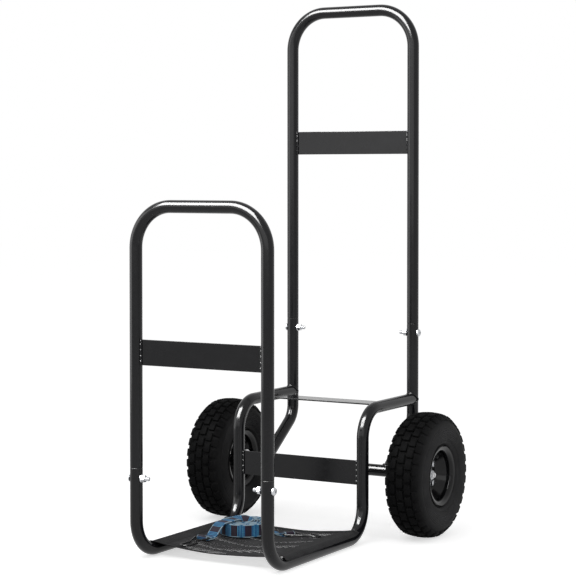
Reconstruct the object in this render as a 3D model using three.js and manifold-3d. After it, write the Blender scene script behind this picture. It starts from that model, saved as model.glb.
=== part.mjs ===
// A fireside log cart: an inverted-U front frame and a tall inverted-U handle bolted to two stepped
// side rails, treaded wheels on split steel rims, a mesh cloth laid over the ground rails, and a
// rolled elastic strap with its two wire hooks lying on the cloth.
// Millimetres. +X is to the right seen from the front, +Y to the back, +Z up, the ground at z = 0.
// Pieces are placed from the front tubes' plane, and the whole cart is then centred over the origin.
import * as THREE from "three";
import { mergeVertices } from "three/addons/utils/BufferGeometryUtils.js";
import Module from "manifold-3d";

// ---------- Driving dimensions ----------

const clearance = 0.3; // between pieces that touch
const runningGap = 0.5; // between pieces that turn past each other

// Frame tubes: diameters are across flats, bend radii to the tube's centre line
const tubeDiameter = 25;
const tubeWall = 1.5;
const frameWidth = 296; // left tube centres to right tube centres
const frameDepth = 610; // front tube centres to rear tube centres
const frontHeight = 700; // ground to the top of the front frame
const handleHeight = 1115; // ground to the top of the handle
const topBendRadius = 80;
const toeBendRadius = 65; // front stub to ground rail
const stepBendRadius = 60; // ground rail to riser, and riser to upper rail
const riserInset = 230; // rear tube centres forward to the riser centres
const deckHeight = 268; // ground to the centres of the upper rails
const kneeRise = 86; // axle centre up to the rear legs' bend
const kneeBendRadius = 45;

// Joints: a swaged spigot slides into the tube below and one bolt goes through both
const frontSeamHeight = 180;
const handleSeamHeight = 430;
const spigotLength = 45;
const boltDrop = 20; // seam to bolt centre
const boltDiameter = 8;
const boltHeadDiameter = 16;
const boltHeadHeight = 5;
const threadShowing = 10; // past the nut
const nutAcrossFlats = 13;
const nutHeight = 6.5;
const flangeHeight = 1.6; // the nut's washer flange

// Flat cross plates, welded between the tubes
const plateHeight = 50;
const plateThickness = 3;
const frontPlateDrop = 295; // top of the front frame down to the middle of its plate
const handlePlateDrop = 297;
const riserPlateHeight = 140; // ground to the middle of the plate
const deckPlateInset = 110; // rear tube centres forward to the middle of the plate

// Axle and wheels
const axleInset = 120; // rear tube centres forward to the axle
const axleTubeDiameter = 25;
const axleTubeWall = 1.5;
const axleDiameter = 16;
const axleStubDiameter = 12; // the threaded ends
const axleNutAcrossFlats = 19;
const axleNutHeight = 8;
const axleThreadShowing = 3;
const axleWasherDiameter = 28;
const axleWasherThickness = 2.5;
const bushLength = 18;
const bushFlange = 2;
const wheelDiameter = 258;
const tyreWidth = 86;
const wheelGap = 35.5; // frame to tyre
const treadDepth = 5.5;
const treadPitches = 20; // blocks in each row round the tyre
const treadLength = 25; // along the tyre, at the top of a block
const crownBlockWidth = 19;
const crownGroove = 5; // between the two rows on the crown
const shoulderBlockWidth = 16;
const tyreWall = 6;
const rimFlangeDiameter = 126;
const rimSeatDiameter = 102;
const rimWidth = 72; // over the flanges
const rimFaceMargin = 1.25; // from the rim bolts' corners to the hub and to the bowl
const rimSheet = 1.8;
const hubWall = 2.2;
const hubLength = 44;
const hubProud = 3; // wheel's middle to the hub's outer end
const bearingDiameter = 34.6;
const bearingWidth = 11;
const bearingFlange = 1.5;
const rimBoltCount = 4;
const rimBoltDiameter = 8;
const rimBoltAcrossFlats = 13;
const rimBoltHead = 5.5;
const tubeSkin = 2; // wall of the inner tube
const stemDiameter = 8;
const stemLength = 30;

// Mesh cloth, laid over the ground rails
const clothOverhang = 14.5; // past the rails' centres, measured along the cloth
const clothFront = 52; // front tube centres to the cloth's front edge
const clothInset = 45; // riser centres forward to the cloth's back edge
const bandWidth = 44;
const bandThickness = 2;
const netThickness = 1;
const hemWidth = 10;
const strandWidth = 4;
const netColumns = 7;
const netRows = 7;
const clothLeaving = (8 * Math.PI) / 180; // slope where the cloth leaves the rails
const creaseDepth = 1.2;
const creasePitch = 62;
const clothEase = 0.25; // under what lies on the cloth, for its facets between the points tried

// Strap, rolled up on its edge, with both ends led out to a wire hook
const strapWidth = 25;
const strapThickness = 1.8;
const rollDiameter = 105;
const rollTurns = 5.6;
const rollPitch = 6.5; // from one turn to the next
const rollX = -48; // from the cart's middle
const rollInset = 95; // cloth's back edge forward to the roll's middle
const rollHeading = Math.PI / 4; // turns the whole strap on the cloth
const foldLength = 22; // sewn back past the hook's bar
const foldSpacing = 2.6; // between the two layers of the fold
const foldEase = 0.8; // between the fold and the hook's bar
const wireDiameter = 4;
const hookLength = 74;
const triangleLength = 38;
const hookBendRadius = 9;
const hookTipLength = 22;

// ---------- Sizes that follow ----------

const tubeRadius = tubeDiameter / 2;
const halfWidth = frameWidth / 2;
const riserY = frameDepth - riserInset;
const axleY = frameDepth - axleInset;
const spigotRadius = tubeRadius - tubeWall - clearance;
const axleHeight = wheelDiameter / 2;
const frontBoltHeight = frontSeamHeight - boltDrop;
const handleBoltHeight = handleSeamHeight - boltDrop;
const wheelCentre = halfWidth + tubeRadius + wheelGap + tyreWidth / 2;
const hubOffset = hubLength / 2 - hubProud; // the hub stands towards the frame
const hubCentre = wheelCentre - hubOffset;
const bearingFace = hubLength / 2 + clearance + bearingFlange; // from the hub's middle
const axleTubeEnd = hubCentre - bearingFace - runningGap - bushFlange - clearance;
const axleShoulder = hubCentre + bearingFace + runningGap - clearance;

const SIDES = 12; // facets round a tube
const WHEEL_SIDES = treadPitches; // so that a tread block stands on one facet
const BOLT_SIDES = 8;
const BEND_STEP = Math.PI / 8;
const UP = new THREE.Vector3(0, 0, 1);
const ACROSS = new THREE.Vector3(1, 0, 0);
const BACK = new THREE.Vector3(0, 1, 0);

// ---------- Materials ----------

const material = (color, roughness, metalness) =>
  new THREE.MeshStandardMaterial({ color, roughness, metalness });
const blackPaint = material(0x1c1d20, 0.4, 0.3);
const glossPaint = material(0x101012, 0.2, 0.4);
const zinc = material(0xb9bcc0, 0.35, 0.9);
const steel = material(0x8f9296, 0.4, 0.9);
const bronze = material(0x9a7f4c, 0.5, 0.7);
const tyreRubber = material(0x232325, 0.85, 0);
const tubeRubber = material(0x1b1b1b, 0.7, 0);
const netFabric = material(0x4a4a4c, 0.9, 0);
const bandFabric = material(0x2a2a2c, 0.95, 0);
const webbing = material(0x1f6fa8, 0.9, 0);
const blackWire = material(0x17171a, 0.35, 0.6);

// ---------- Building blocks ----------

const manifold = await Module();
manifold.setup();

function signedVolume(geometry) {
  const at = geometry.getAttribute("position");
  const index = geometry.getIndex();
  const corners = [new THREE.Vector3(), new THREE.Vector3(), new THREE.Vector3()];
  let volume = 0;
  for (let i = 0; i < index.count; i += 3) {
    corners.forEach((corner, k) => corner.fromBufferAttribute(at, index.getX(i + k)));
    volume += corners[0].dot(corners[1].clone().cross(corners[2])) / 6;
  }
  return volume;
}

// The same closed surface on shared vertices, with its faces pointing out.
function closedSurface(geometry) {
  const bare = geometry.clone();
  bare.deleteAttribute("normal");
  bare.deleteAttribute("uv");
  const merged = mergeVertices(bare, 1e-4);
  const index = Array.from(merged.getIndex().array);
  const kept = [];
  const flipped = signedVolume(merged) < 0;
  for (let i = 0; i < index.length; i += 3) {
    const [a, b, c] = index.slice(i, i + 3);
    if (a !== b && b !== c && c !== a) kept.push(...(flipped ? [a, c, b] : [a, b, c]));
  }
  merged.setIndex(kept);
  return merged;
}

function solidOf(geometry) {
  const surface = closedSurface(geometry);
  return new manifold.Manifold(
    new manifold.Mesh({
      numProp: 3,
      vertProperties: Float32Array.from(surface.getAttribute("position").array),
      triVerts: Uint32Array.from(surface.getIndex().array),
    }),
  );
}

function geometryOf(solid) {
  const { vertProperties, triVerts } = solid.getMesh();
  const geometry = new THREE.BufferGeometry();
  geometry.setAttribute("position", new THREE.BufferAttribute(vertProperties, 3));
  geometry.setIndex(new THREE.BufferAttribute(triVerts, 1));
  return geometry;
}

const joined = (base, ...others) =>
  geometryOf(others.reduce((solid, other) => solid.add(solidOf(other)), solidOf(base)));
const cut = (base, ...tools) =>
  geometryOf(tools.reduce((solid, tool) => solid.subtract(solidOf(tool)), solidOf(base)));

function flatShaded(geometry) {
  const loose = geometry.index ? geometry.toNonIndexed() : geometry;
  loose.computeVertexNormals();
  return loose;
}

const piece = (name, geometry, finish) => {
  const mesh = new THREE.Mesh(flatShaded(closedSurface(geometry)), finish);
  mesh.name = name;
  return mesh;
};

// A surface through rings of as many points each: capped at both ends, or closed on itself.
function skin(rings, closedLoop = false) {
  const count = rings[0].length;
  const faces = [];
  const last = closedLoop ? rings.length : rings.length - 1;
  for (let i = 0; i < last; i++) {
    const here = i * count;
    const next = ((i + 1) % rings.length) * count;
    for (let k = 0; k < count; k++) {
      const l = (k + 1) % count;
      faces.push(here + k, here + l, next + l, here + k, next + l, next + k);
    }
  }
  if (!closedLoop) {
    const end = (rings.length - 1) * count;
    for (let k = 1; k < count - 1; k++) faces.push(0, k + 1, k, end, end + k, end + k + 1);
  }
  const geometry = new THREE.BufferGeometry().setFromPoints(rings.flat());
  geometry.setIndex(faces);
  return closedSurface(geometry);
}

// A ring of facets round a station, flat towards `side` and square to the way the path runs.
function ring({ point, along }, radius, side, sides) {
  const up = side.clone().cross(along).normalize();
  return Array.from({ length: sides }, (_, k) => {
    const angle = ((k + 0.5) * 2 * Math.PI) / sides;
    const reach = radius / Math.cos(Math.PI / sides);
    return point
      .clone()
      .addScaledVector(side, reach * Math.cos(angle))
      .addScaledVector(up, reach * Math.sin(angle));
  });
}

// Stations along straight runs whose corners are rounded: [{ at, bend }, ...].
function bentPath(corners) {
  return corners.flatMap(({ at, bend }, i) => {
    const before = corners[i - 1]?.at;
    const after = corners[i + 1]?.at;
    if (!before) return [{ point: at, along: after.clone().sub(at).normalize() }];
    const arriving = at.clone().sub(before).normalize();
    if (!after) return [{ point: at, along: arriving }];
    const leaving = after.clone().sub(at).normalize();
    const angle = arriving.angleTo(leaving);
    const inward = leaving
      .clone()
      .addScaledVector(arriving, -leaving.dot(arriving))
      .normalize();
    const centre = at
      .clone()
      .addScaledVector(arriving, -bend * Math.tan(angle / 2))
      .addScaledVector(inward, bend);
    const steps = Math.ceil(angle / BEND_STEP - 1e-6);
    return Array.from({ length: steps + 1 }, (_, k) => {
      const turned = (angle * k) / steps;
      return {
        point: centre
          .clone()
          .addScaledVector(inward, -bend * Math.cos(turned))
          .addScaledVector(arriving, bend * Math.sin(turned)),
        along: arriving
          .clone()
          .multiplyScalar(Math.cos(turned))
          .addScaledVector(inward, Math.sin(turned)),
      };
    });
  });
}

const solidBar = (stations, radius, side, sides = SIDES) =>
  skin(stations.map((station) => ring(station, radius, side, sides)));

// A tube with open ends. A station's own outer and bore radii stand in for the tube's.
function hollowTube(stations, side, outer = tubeRadius, bore = tubeRadius - tubeWall) {
  const outside = stations.map((s) => ring(s, s.outer ?? outer, side, SIDES));
  const inside = stations.map((s) => ring(s, s.bore ?? bore, side, SIDES));
  return skin([...outside, ...inside.reverse()], true);
}

// A tube end drawn down to slide into the tube below, from its tip back to full size.
function spigot(tip, along) {
  const at = (distance) => tip.clone().addScaledVector(along, distance);
  const shoulder = spigotLength + tubeWall / 2;
  const bore = spigotRadius - tubeWall;
  return [
    { point: tip, along, outer: spigotRadius, bore },
    { point: at(spigotLength), along, outer: spigotRadius, bore },
    { point: at(shoulder), along, bore },
    { point: at(shoulder + 2 * tubeWall), along },
  ];
}

// The other half of a profile that is symmetric about x = 0.
const mirrored = (outline) => [...outline].reverse().map(([x, radius]) => [-x, radius]);

// A closed profile of [x, radius] points turned about the X axis.
function turned(profile, sides) {
  const points = [...profile, profile[0]].map(([x, radius]) => new THREE.Vector2(radius, x));
  return new THREE.LatheGeometry(points, sides, Math.PI / sides).rotateZ(-Math.PI / 2);
}

const acrossX = (radius, x0, x1, sides = BOLT_SIDES) =>
  turned([[x0, 0], [x0, radius], [x1, radius], [x1, 0]], sides);

// A ring about the X axis between x0 and x1.
const collar = (bore, radius, x0, x1, sides = SIDES) =>
  turned([[x0, bore], [x0, radius], [x1, radius], [x1, bore]], sides);

function hexNut(acrossFlats, boreRadius, height, boreSides) {
  const hexagon = new THREE.Shape(
    Array.from({ length: 6 }, (_, k) =>
      new THREE.Vector2(acrossFlats / Math.sqrt(3), 0).rotateAround(
        new THREE.Vector2(),
        (k * Math.PI) / 3,
      ),
    ),
  );
  const start = Math.PI / boreSides;
  hexagon.holes.push(new THREE.Path().absarc(0, 0, boreRadius, start, start + 2 * Math.PI));
  const options = { depth: height, bevelEnabled: false, curveSegments: boreSides / 2 };
  return new THREE.ExtrudeGeometry(hexagon, options).rotateY(Math.PI / 2);
}

// ---------- Frame ----------

const cart = new THREE.Group();
const inYZ = (y, z) => new THREE.Vector3(0, y, z);
const inXZ = (x, z) => new THREE.Vector3(x, 0, z);

const axlePath = [
  { point: new THREE.Vector3(-axleTubeEnd, axleY, axleHeight), along: ACROSS },
  { point: new THREE.Vector3(axleTubeEnd, axleY, axleHeight), along: ACROSS },
];
const legPath = bentPath([
  { at: inYZ(axleY, axleHeight) },
  { at: inYZ(frameDepth, axleHeight + kneeRise), bend: kneeBendRadius },
  { at: inYZ(frameDepth, handleSeamHeight) },
]);
const railPath = bentPath([
  { at: inYZ(0, frontSeamHeight) },
  { at: inYZ(0, tubeRadius), bend: toeBendRadius },
  { at: inYZ(riserY, tubeRadius), bend: stepBendRadius },
  { at: inYZ(riserY, deckHeight), bend: stepBendRadius },
  { at: inYZ(frameDepth, deckHeight) },
]);

const boltHole = (y, z) =>
  acrossX(boltDiameter / 2 + clearance, -halfWidth - tubeDiameter, halfWidth + tubeDiameter)
    .translate(0, y, z);

// An inverted U whose two lower ends are spigots standing on the seam height.
function invertedU(top, seam, y) {
  const tip = seam + clearance - spigotLength;
  const bends = bentPath([
    { at: inXZ(-halfWidth, tip) },
    { at: inXZ(-halfWidth, top - tubeRadius), bend: topBendRadius },
    { at: inXZ(halfWidth, top - tubeRadius), bend: topBendRadius },
    { at: inXZ(halfWidth, tip) },
  ]).slice(1, -1);
  const rising = spigot(inXZ(-halfWidth, tip), UP);
  const falling = spigot(inXZ(halfWidth, tip), UP)
    .reverse()
    .map((station) => ({ ...station, along: UP.clone().negate() }));
  const tube = hollowTube([...rising, ...bends, ...falling], BACK).translate(0, y, 0);
  return cut(tube, boltHole(y, seam - boltDrop));
}

// A flat bar between two tubes, upright along X or lying flat.
function plateAt(name, y, z, lying = false) {
  const length = frameWidth - tubeDiameter - 2 * clearance;
  const bar = new THREE.BoxGeometry(length, plateThickness, plateHeight);
  const plate = piece(name, bar, blackPaint);
  plate.position.set(0, y, z);
  if (lying) plate.rotation.x = Math.PI / 2;
  cart.add(plate);
}

cart.add(piece("front_frame", invertedU(frontHeight, frontSeamHeight, 0), blackPaint));
cart.add(
  piece("handle_frame", invertedU(handleHeight, handleSeamHeight, frameDepth), blackPaint),
);
plateAt("front_cross_plate", 0, frontHeight - frontPlateDrop);
plateAt("handle_cross_plate", frameDepth, handleHeight - handlePlateDrop);
plateAt("riser_cross_plate", riserY, riserPlateHeight);
plateAt("deck_cross_plate", frameDepth - deckPlateInset, deckHeight, true);

const baseRail = cut(
  hollowTube(railPath, ACROSS),
  solidBar(legPath, tubeRadius + clearance, ACROSS),
  boltHole(0, frontBoltHeight),
);
const rearLeg = cut(
  hollowTube(legPath, ACROSS),
  solidBar(axlePath, axleTubeDiameter / 2 + clearance, BACK),
  boltHole(frameDepth, handleBoltHeight),
);

// ---------- Joint bolts ----------

// A domed bolt along X through a tube centred at x = 0, its head on the +X side.
function jointBolt() {
  const head = tubeRadius + clearance;
  const tip = -(head + flangeHeight + nutHeight + threadShowing);
  const shank = boltDiameter / 2;
  const quarter = [Math.PI / 2, 0, true]; // clockwise, from the rim to the crown
  const dome = new THREE.EllipseCurve(head, 0, boltHeadHeight, boltHeadDiameter / 2, ...quarter);
  const domePoints = dome.getPoints(2).map(({ x, y }) => [x, Math.max(y, 0)]);
  return turned([[tip, 0], [tip, shank], [head, shank], ...domePoints], BOLT_SIDES);
}

// Its nut on the -X side, with a washer flange against the tube.
function jointNut() {
  const bore = boltDiameter / 2 + clearance;
  const seat = -(tubeRadius + clearance);
  const nut = hexNut(nutAcrossFlats, bore, nutHeight, BOLT_SIDES);
  const overlap = 0.2;
  nut.translate(seat - flangeHeight - nutHeight + overlap, 0, 0);
  const flange = collar(bore, boltHeadDiameter / 2, seat - flangeHeight, seat, BOLT_SIDES);
  return joined(flange, nut);
}

// ---------- Both sides of the frame ----------

for (const [hand, side] of [["left", -1], ["right", 1]]) {
  const sideFrame = new THREE.Group();
  sideFrame.position.x = side * halfWidth;
  sideFrame.add(piece(`${hand}_base_rail`, baseRail, blackPaint));
  sideFrame.add(piece(`${hand}_rear_leg`, rearLeg, blackPaint));
  const joints = [
    ["front", 0, frontBoltHeight],
    ["handle", frameDepth, handleBoltHeight],
  ];
  for (const [place, y, z] of joints) {
    const joint = new THREE.Group();
    joint.position.set(0, y, z);
    joint.rotation.z = side < 0 ? Math.PI : 0;
    joint.add(piece(`${hand}_${place}_bolt`, jointBolt(), zinc));
    joint.add(piece(`${hand}_${place}_nut`, jointNut(), zinc));
    sideFrame.add(joint);
  }
  cart.add(sideFrame);
}

// ---------- Axle ----------

function axleRod() {
  const body = axleDiameter / 2;
  const stub = axleStubDiameter / 2;
  const end = axleShoulder + axleWasherThickness + axleNutHeight + 3 * clearance + axleThreadShowing;
  const half = [[axleShoulder, body], [axleShoulder, stub], [end, stub], [end, 0]];
  return turned([...mirrored(half), ...half], SIDES);
}

// A flanged bush for the end of the axle tube, its flange towards +X.
function axleBush() {
  const bore = axleDiameter / 2 + clearance;
  const body = axleTubeDiameter / 2 - axleTubeWall - clearance;
  const face = axleTubeEnd + clearance;
  return turned(
    [
      [axleTubeEnd - bushLength, bore],
      [axleTubeEnd - bushLength, body],
      [face, body],
      [face, axleWasherDiameter / 2],
      [face + bushFlange, axleWasherDiameter / 2],
      [face + bushFlange, bore],
    ],
    SIDES,
  );
}

const axle = new THREE.Group();
axle.position.set(0, axleY, axleHeight);
const straightAxle = axlePath.map(({ point, along }) => ({ point: inXZ(point.x, 0), along }));
const axleTube = hollowTube(
  straightAxle,
  BACK,
  axleTubeDiameter / 2,
  axleTubeDiameter / 2 - axleTubeWall,
);
axle.add(piece("axle_tube", axleTube, blackPaint));
axle.add(piece("axle_rod", axleRod(), steel));
for (const [hand, side] of [["left", -1], ["right", 1]]) {
  const end = new THREE.Group();
  end.rotation.z = side < 0 ? Math.PI : 0;
  const washerFace = axleShoulder + clearance;
  const nutFace = washerFace + axleWasherThickness + clearance;
  const stubBore = axleStubDiameter / 2 + clearance;
  const washer = collar(
    stubBore,
    axleWasherDiameter / 2,
    washerFace,
    washerFace + axleWasherThickness,
  );
  const nut = hexNut(axleNutAcrossFlats, stubBore, axleNutHeight, SIDES).translate(nutFace, 0, 0);
  end.add(piece(`${hand}_axle_bush`, axleBush(), bronze));
  end.add(piece(`${hand}_axle_washer`, washer, zinc));
  end.add(piece(`${hand}_axle_nut`, nut, zinc));
  axle.add(end);
}
cart.add(axle);

// ---------- Wheels ----------

const hubDiameter = bearingDiameter + 2 * hubWall;
const rimFace = (2 * rimBoltAcrossFlats) / Math.sqrt(3) + 2 * rimFaceMargin;
const rimBoltCircle = hubDiameter + rimFace;
const crownRadius = wheelDiameter / 2 - treadDepth;
const flangeRadius = rimFlangeDiameter / 2;
const seatRadius = rimSeatDiameter / 2;
const beadX = rimWidth / 2 - rimSheet - clearance;
const crownEdge = crownGroove / 2 + crownBlockWidth + 2.5;
const cavityX = tyreWidth / 2 - tyreWall;
const sideRadius = (flangeRadius + crownRadius) / 2 - 2;
const shoulderX = tyreWidth / 2 - 1.5;
const cavityEdge = crownEdge + 0.23 * (shoulderX - crownEdge);

// Half of the tyre's outer outline, from the bead to the edge of the crown rows.
function tyreOutline() {
  const bulge = new THREE.SplineCurve([
    new THREE.Vector2(beadX, flangeRadius + 1.5),
    new THREE.Vector2(tyreWidth / 2 - 2.5, flangeRadius + 13),
    new THREE.Vector2(tyreWidth / 2, sideRadius),
    new THREE.Vector2(shoulderX, crownRadius - 16),
  ]);
  return [
    [beadX, seatRadius + clearance],
    ...bulge.getPoints(3).map(({ x, y }) => [x, y]),
    [crownEdge, crownRadius],
  ];
}

// Half of the tyre's inner outline, from the crown to the bead.
const cavityOutline = (inset = 0) => [
  [cavityEdge - inset, crownRadius - tyreWall - 2 - inset],
  [cavityX - inset, sideRadius],
  [beadX - 9 - inset, seatRadius + clearance + 2 * inset],
];

// One drafted tread block standing on the carcass, tipped `outward` degrees round the shoulder.
function treadBlock({ x, radius, height, width, outward }, angle) {
  const sunk = tyreWall - 2;
  const level = (y, share) =>
    [[-1, -1], [-1, 1], [1, 1], [1, -1]].map(
      ([i, k]) => new THREE.Vector3((i * share * width) / 2, y, (k * share * treadLength) / 2),
    );
  return skin([level(-sunk, 1.15), level(height, 1)])
    .rotateZ(THREE.MathUtils.degToRad(-outward))
    .translate(x, radius, 0)
    .rotateX(angle);
}

// Four rows of blocks: two on the crown and one over each shoulder, each half a pitch on.
function treadBlocks() {
  const crownX = (crownGroove + crownBlockWidth) / 2;
  const blockTop = Math.sqrt((wheelDiameter / 2) ** 2 - (treadLength / 2) ** 2);
  const crown = {
    x: crownX,
    radius: crownRadius,
    height: blockTop - crownRadius,
    width: crownBlockWidth,
    outward: 0,
  };
  const shoulder = {
    x: (crownEdge + tyreWidth / 2) / 2 + 0.3,
    radius: crownRadius - 7.5,
    height: treadDepth,
    width: shoulderBlockWidth,
    outward: 52,
  };
  const leftward = (row) => ({ ...row, x: -row.x, outward: -row.outward });
  const pitch = (2 * Math.PI) / treadPitches;
  return [leftward(shoulder), leftward(crown), crown, shoulder].flatMap((row, i) =>
    Array.from({ length: treadPitches }, (_, k) =>
      treadBlock(row, -Math.PI / 2 + (k + (i % 2) / 2) * pitch),
    ),
  );
}

function tyre() {
  const outer = tyreOutline();
  const inner = cavityOutline();
  const profile = [...outer, ...mirrored(outer), ...mirrored(inner), ...inner];
  return joined(turned(profile, WHEEL_SIDES), ...treadBlocks());
}

// The valve stem leaves the tube towards the hub and the outer bowl, at 45 degrees.
const stemBase = { x: 4, z: seatRadius + 6 };
function alongStem(geometry) {
  return geometry
    .rotateZ(-Math.PI / 2)
    .rotateY(Math.PI / 4)
    .translate(stemBase.x, 0, stemBase.z);
}

function innerTube() {
  const ringOf = (inset) => {
    const [shoulder, side] = cavityOutline(clearance + inset);
    const well = [beadX - 14 - inset, seatRadius + 4 + inset];
    const half = [shoulder, side, well];
    return turned([...half, ...mirrored(half)], WHEEL_SIDES);
  };
  const along = (radius, length) =>
    alongStem(new THREE.CylinderGeometry(radius, radius, length, 6).translate(0, length / 2, 0));
  const stem = along(stemDiameter / 2, stemLength);
  const bore = along(1.5, stemLength + 10).translate(-4, 0, 4);
  return geometryOf(
    solidOf(ringOf(0))
      .add(solidOf(stem))
      .subtract(solidOf(ringOf(tubeSkin)))
      .subtract(solidOf(bore)),
  );
}

// One pressed half of the split rim, its bowl opening towards +X.
function rimHalf(hasStemHole) {
  const well = hubDiameter / 2 + rimFace;
  const face = clearance / 2;
  const edge = rimWidth / 2;
  const seatStart = edge - 13;
  const hubHole = hubDiameter / 2 + clearance;
  const half = turned(
    [
      [face, hubHole],
      [face + rimSheet, hubHole],
      [face + rimSheet, well],
      [seatStart, seatRadius - rimSheet],
      [edge, seatRadius - rimSheet],
      [edge + 1.5, flangeRadius],
      [edge - rimSheet, flangeRadius],
      [edge - rimSheet, seatRadius],
      [seatStart - rimSheet, seatRadius],
      [face, well + rimSheet],
    ],
    WHEEL_SIDES,
  );
  const holes = Array.from({ length: rimBoltCount }, (_, k) =>
    acrossX(rimBoltDiameter / 2 + 2 * clearance, -rimWidth, rimWidth)
      .translate(0, 0, rimBoltCircle / 2)
      .rotateX(((k + 0.5) * 2 * Math.PI) / rimBoltCount),
  );
  if (hasStemHole) {
    const radius = stemDiameter / 2 + runningGap;
    holes.push(
      alongStem(
        new THREE.CylinderGeometry(radius, radius, stemLength, 8).translate(0, stemLength / 2, 0),
      ),
    );
  }
  return cut(half, ...holes);
}

function rimBolt() {
  const grip = clearance / 2 + rimSheet + clearance;
  const corner = rimBoltAcrossFlats / Math.sqrt(3);
  const shank = rimBoltDiameter / 2;
  const half = [[grip, shank], [grip, corner], [grip + rimBoltHead, corner], [grip + rimBoltHead, 0]];
  return turned([...mirrored(half), ...half], 6);
}

const hub = () =>
  collar(bearingDiameter / 2 + clearance, hubDiameter / 2, -hubLength / 2, hubLength / 2);

// A flanged bearing for the hub's +X end.
function bearing() {
  const bore = axleDiameter / 2 + runningGap + clearance;
  const body = bearingDiameter / 2;
  const seat = hubLength / 2 + clearance;
  const flange = hubDiameter / 2 + 1;
  return turned(
    [
      [seat - bearingWidth, bore],
      [seat - bearingWidth, body],
      [seat, body],
      [seat, flange],
      [seat + bearingFlange, flange],
      [seat + bearingFlange, bore],
    ],
    SIDES,
  );
}

function wheel(hand) {
  const group = new THREE.Group();
  group.add(piece(`${hand}_tyre`, tyre(), tyreRubber));
  group.add(piece(`${hand}_inner_tube`, innerTube(), tubeRubber));
  group.add(piece(`${hand}_outer_rim`, rimHalf(true), glossPaint));
  const innerHalf = new THREE.Group();
  innerHalf.rotation.z = Math.PI;
  innerHalf.add(piece(`${hand}_inner_rim`, rimHalf(false), glossPaint));
  group.add(innerHalf);
  const turning = new THREE.Group();
  turning.position.x = -hubOffset;
  const innerBearing = piece(`${hand}_inner_bearing`, bearing(), steel);
  innerBearing.rotation.z = Math.PI;
  turning.add(piece(`${hand}_hub`, hub(), glossPaint));
  turning.add(piece(`${hand}_outer_bearing`, bearing(), steel), innerBearing);
  group.add(turning);
  for (let k = 0; k < rimBoltCount; k++) {
    const around = new THREE.Group();
    around.rotation.x = ((k + 0.5) * 2 * Math.PI) / rimBoltCount;
    const bolt = piece(`${hand}_rim_bolt_${k + 1}`, rimBolt(), zinc);
    bolt.position.z = rimBoltCircle / 2;
    around.add(bolt);
    group.add(around);
  }
  return group;
}

for (const [hand, side] of [["left", -1], ["right", 1]]) {
  const turnedOut = wheel(hand);
  turnedOut.position.set(side * wheelCentre, axleY, axleHeight);
  turnedOut.rotation.z = side < 0 ? Math.PI : 0;
  cart.add(turnedOut);
}

// ---------- Mesh cloth ----------

const clothHalf = halfWidth + clothOverhang;
const bandEase = 0.3; // keeps the band's facets off the rail's
const railCorner = tubeRadius / Math.cos(Math.PI / SIDES);
const clothRadius = railCorner + clearance + bandEase + bandThickness / 2; // round a rail's top
const leavingX = halfWidth - clothRadius * Math.sin(clothLeaving);
const leavingZ = tubeRadius + clothRadius * Math.cos(clothLeaving);

// The rails' top line, which their bends lift at both ends of the cloth.
const railTop = railPath.map(({ point, along }) =>
  point.clone().addScaledVector(ACROSS.clone().cross(along), tubeRadius),
);

function railRise(y) {
  const next = railTop.findIndex((top, i) => i > 0 && top.y >= y);
  const [from, to] = [railTop[next - 1], railTop[next]];
  return from.z + ((to.z - from.z) * (y - from.y)) / (to.y - from.y) - tubeDiameter;
}

const sagAt = (x) =>
  leavingZ - (Math.tan(clothLeaving) / (2 * leavingX)) * (leavingX ** 2 - x ** 2);

function creaseAt(x, y) {
  const fade = 1 - (Math.min(Math.abs(x), leavingX) / leavingX) ** 2;
  const drift = 0.9 * Math.sin((2 * Math.PI * x) / (frameWidth * 0.7));
  return creaseDepth * fade * Math.sin((2 * Math.PI * y) / creasePitch + drift);
}

// The cloth's middle surface: `across` is measured along it from the cart's middle.
function clothPoint(across, y) {
  const distance = Math.abs(across);
  const hand = Math.sign(across);
  if (distance < leavingX) {
    return new THREE.Vector3(across, y, sagAt(across) + creaseAt(across, y) + railRise(y));
  }
  const angle = (distance - leavingX) / clothRadius - clothLeaving;
  const x = halfWidth + clothRadius * Math.sin(angle);
  const z = tubeRadius + clothRadius * Math.cos(angle) + railRise(y);
  return new THREE.Vector3(hand * x, y, z);
}

function clothNormal(across, y) {
  const step = 0.01;
  const slope = clothPoint(across + step, y).sub(clothPoint(across - step, y));
  return new THREE.Vector3(-slope.z, 0, slope.x).normalize();
}

// A sheet with thickness over a grid of lines, open where isOpen(column, row) says so.
function thickSheet(acrossLines, depthLines, thickness, isOpen) {
  const columns = acrossLines.length;
  const points = depthLines.flatMap((y) =>
    acrossLines.flatMap((across) => {
      const middle = clothPoint(across, y);
      const normal = clothNormal(across, y);
      return [1, -1].map((face) => middle.clone().addScaledVector(normal, (face * thickness) / 2));
    }),
  );
  const vertex = (i, j, face) => 2 * (j * columns + i) + face;
  const filled = (i, j) =>
    i >= 0 && j >= 0 && i < columns - 1 && j < depthLines.length - 1 && !isOpen(i, j);
  const faces = [];
  const quad = (a, b, c, d) => faces.push(a, b, c, a, c, d);
  for (let j = 0; j < depthLines.length - 1; j++) {
    for (let i = 0; i < columns - 1; i++) {
      if (!filled(i, j)) continue;
      const corners = [[i, j], [i + 1, j], [i + 1, j + 1], [i, j + 1]];
      const neighbours = [[i, j - 1], [i + 1, j], [i, j + 1], [i - 1, j]];
      quad(...corners.map(([a, b]) => vertex(a, b, 0)));
      quad(...[...corners].reverse().map(([a, b]) => vertex(a, b, 1)));
      neighbours.forEach(([a, b], k) => {
        if (filled(a, b)) return;
        const [from, to] = [corners[k], corners[(k + 1) % 4]];
        quad(vertex(...from, 0), vertex(...from, 1), vertex(...to, 1), vertex(...to, 0));
      });
    }
  }
  const geometry = new THREE.BufferGeometry().setFromPoints(points);
  geometry.setIndex(faces);
  return closedSurface(geometry);
}

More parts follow.
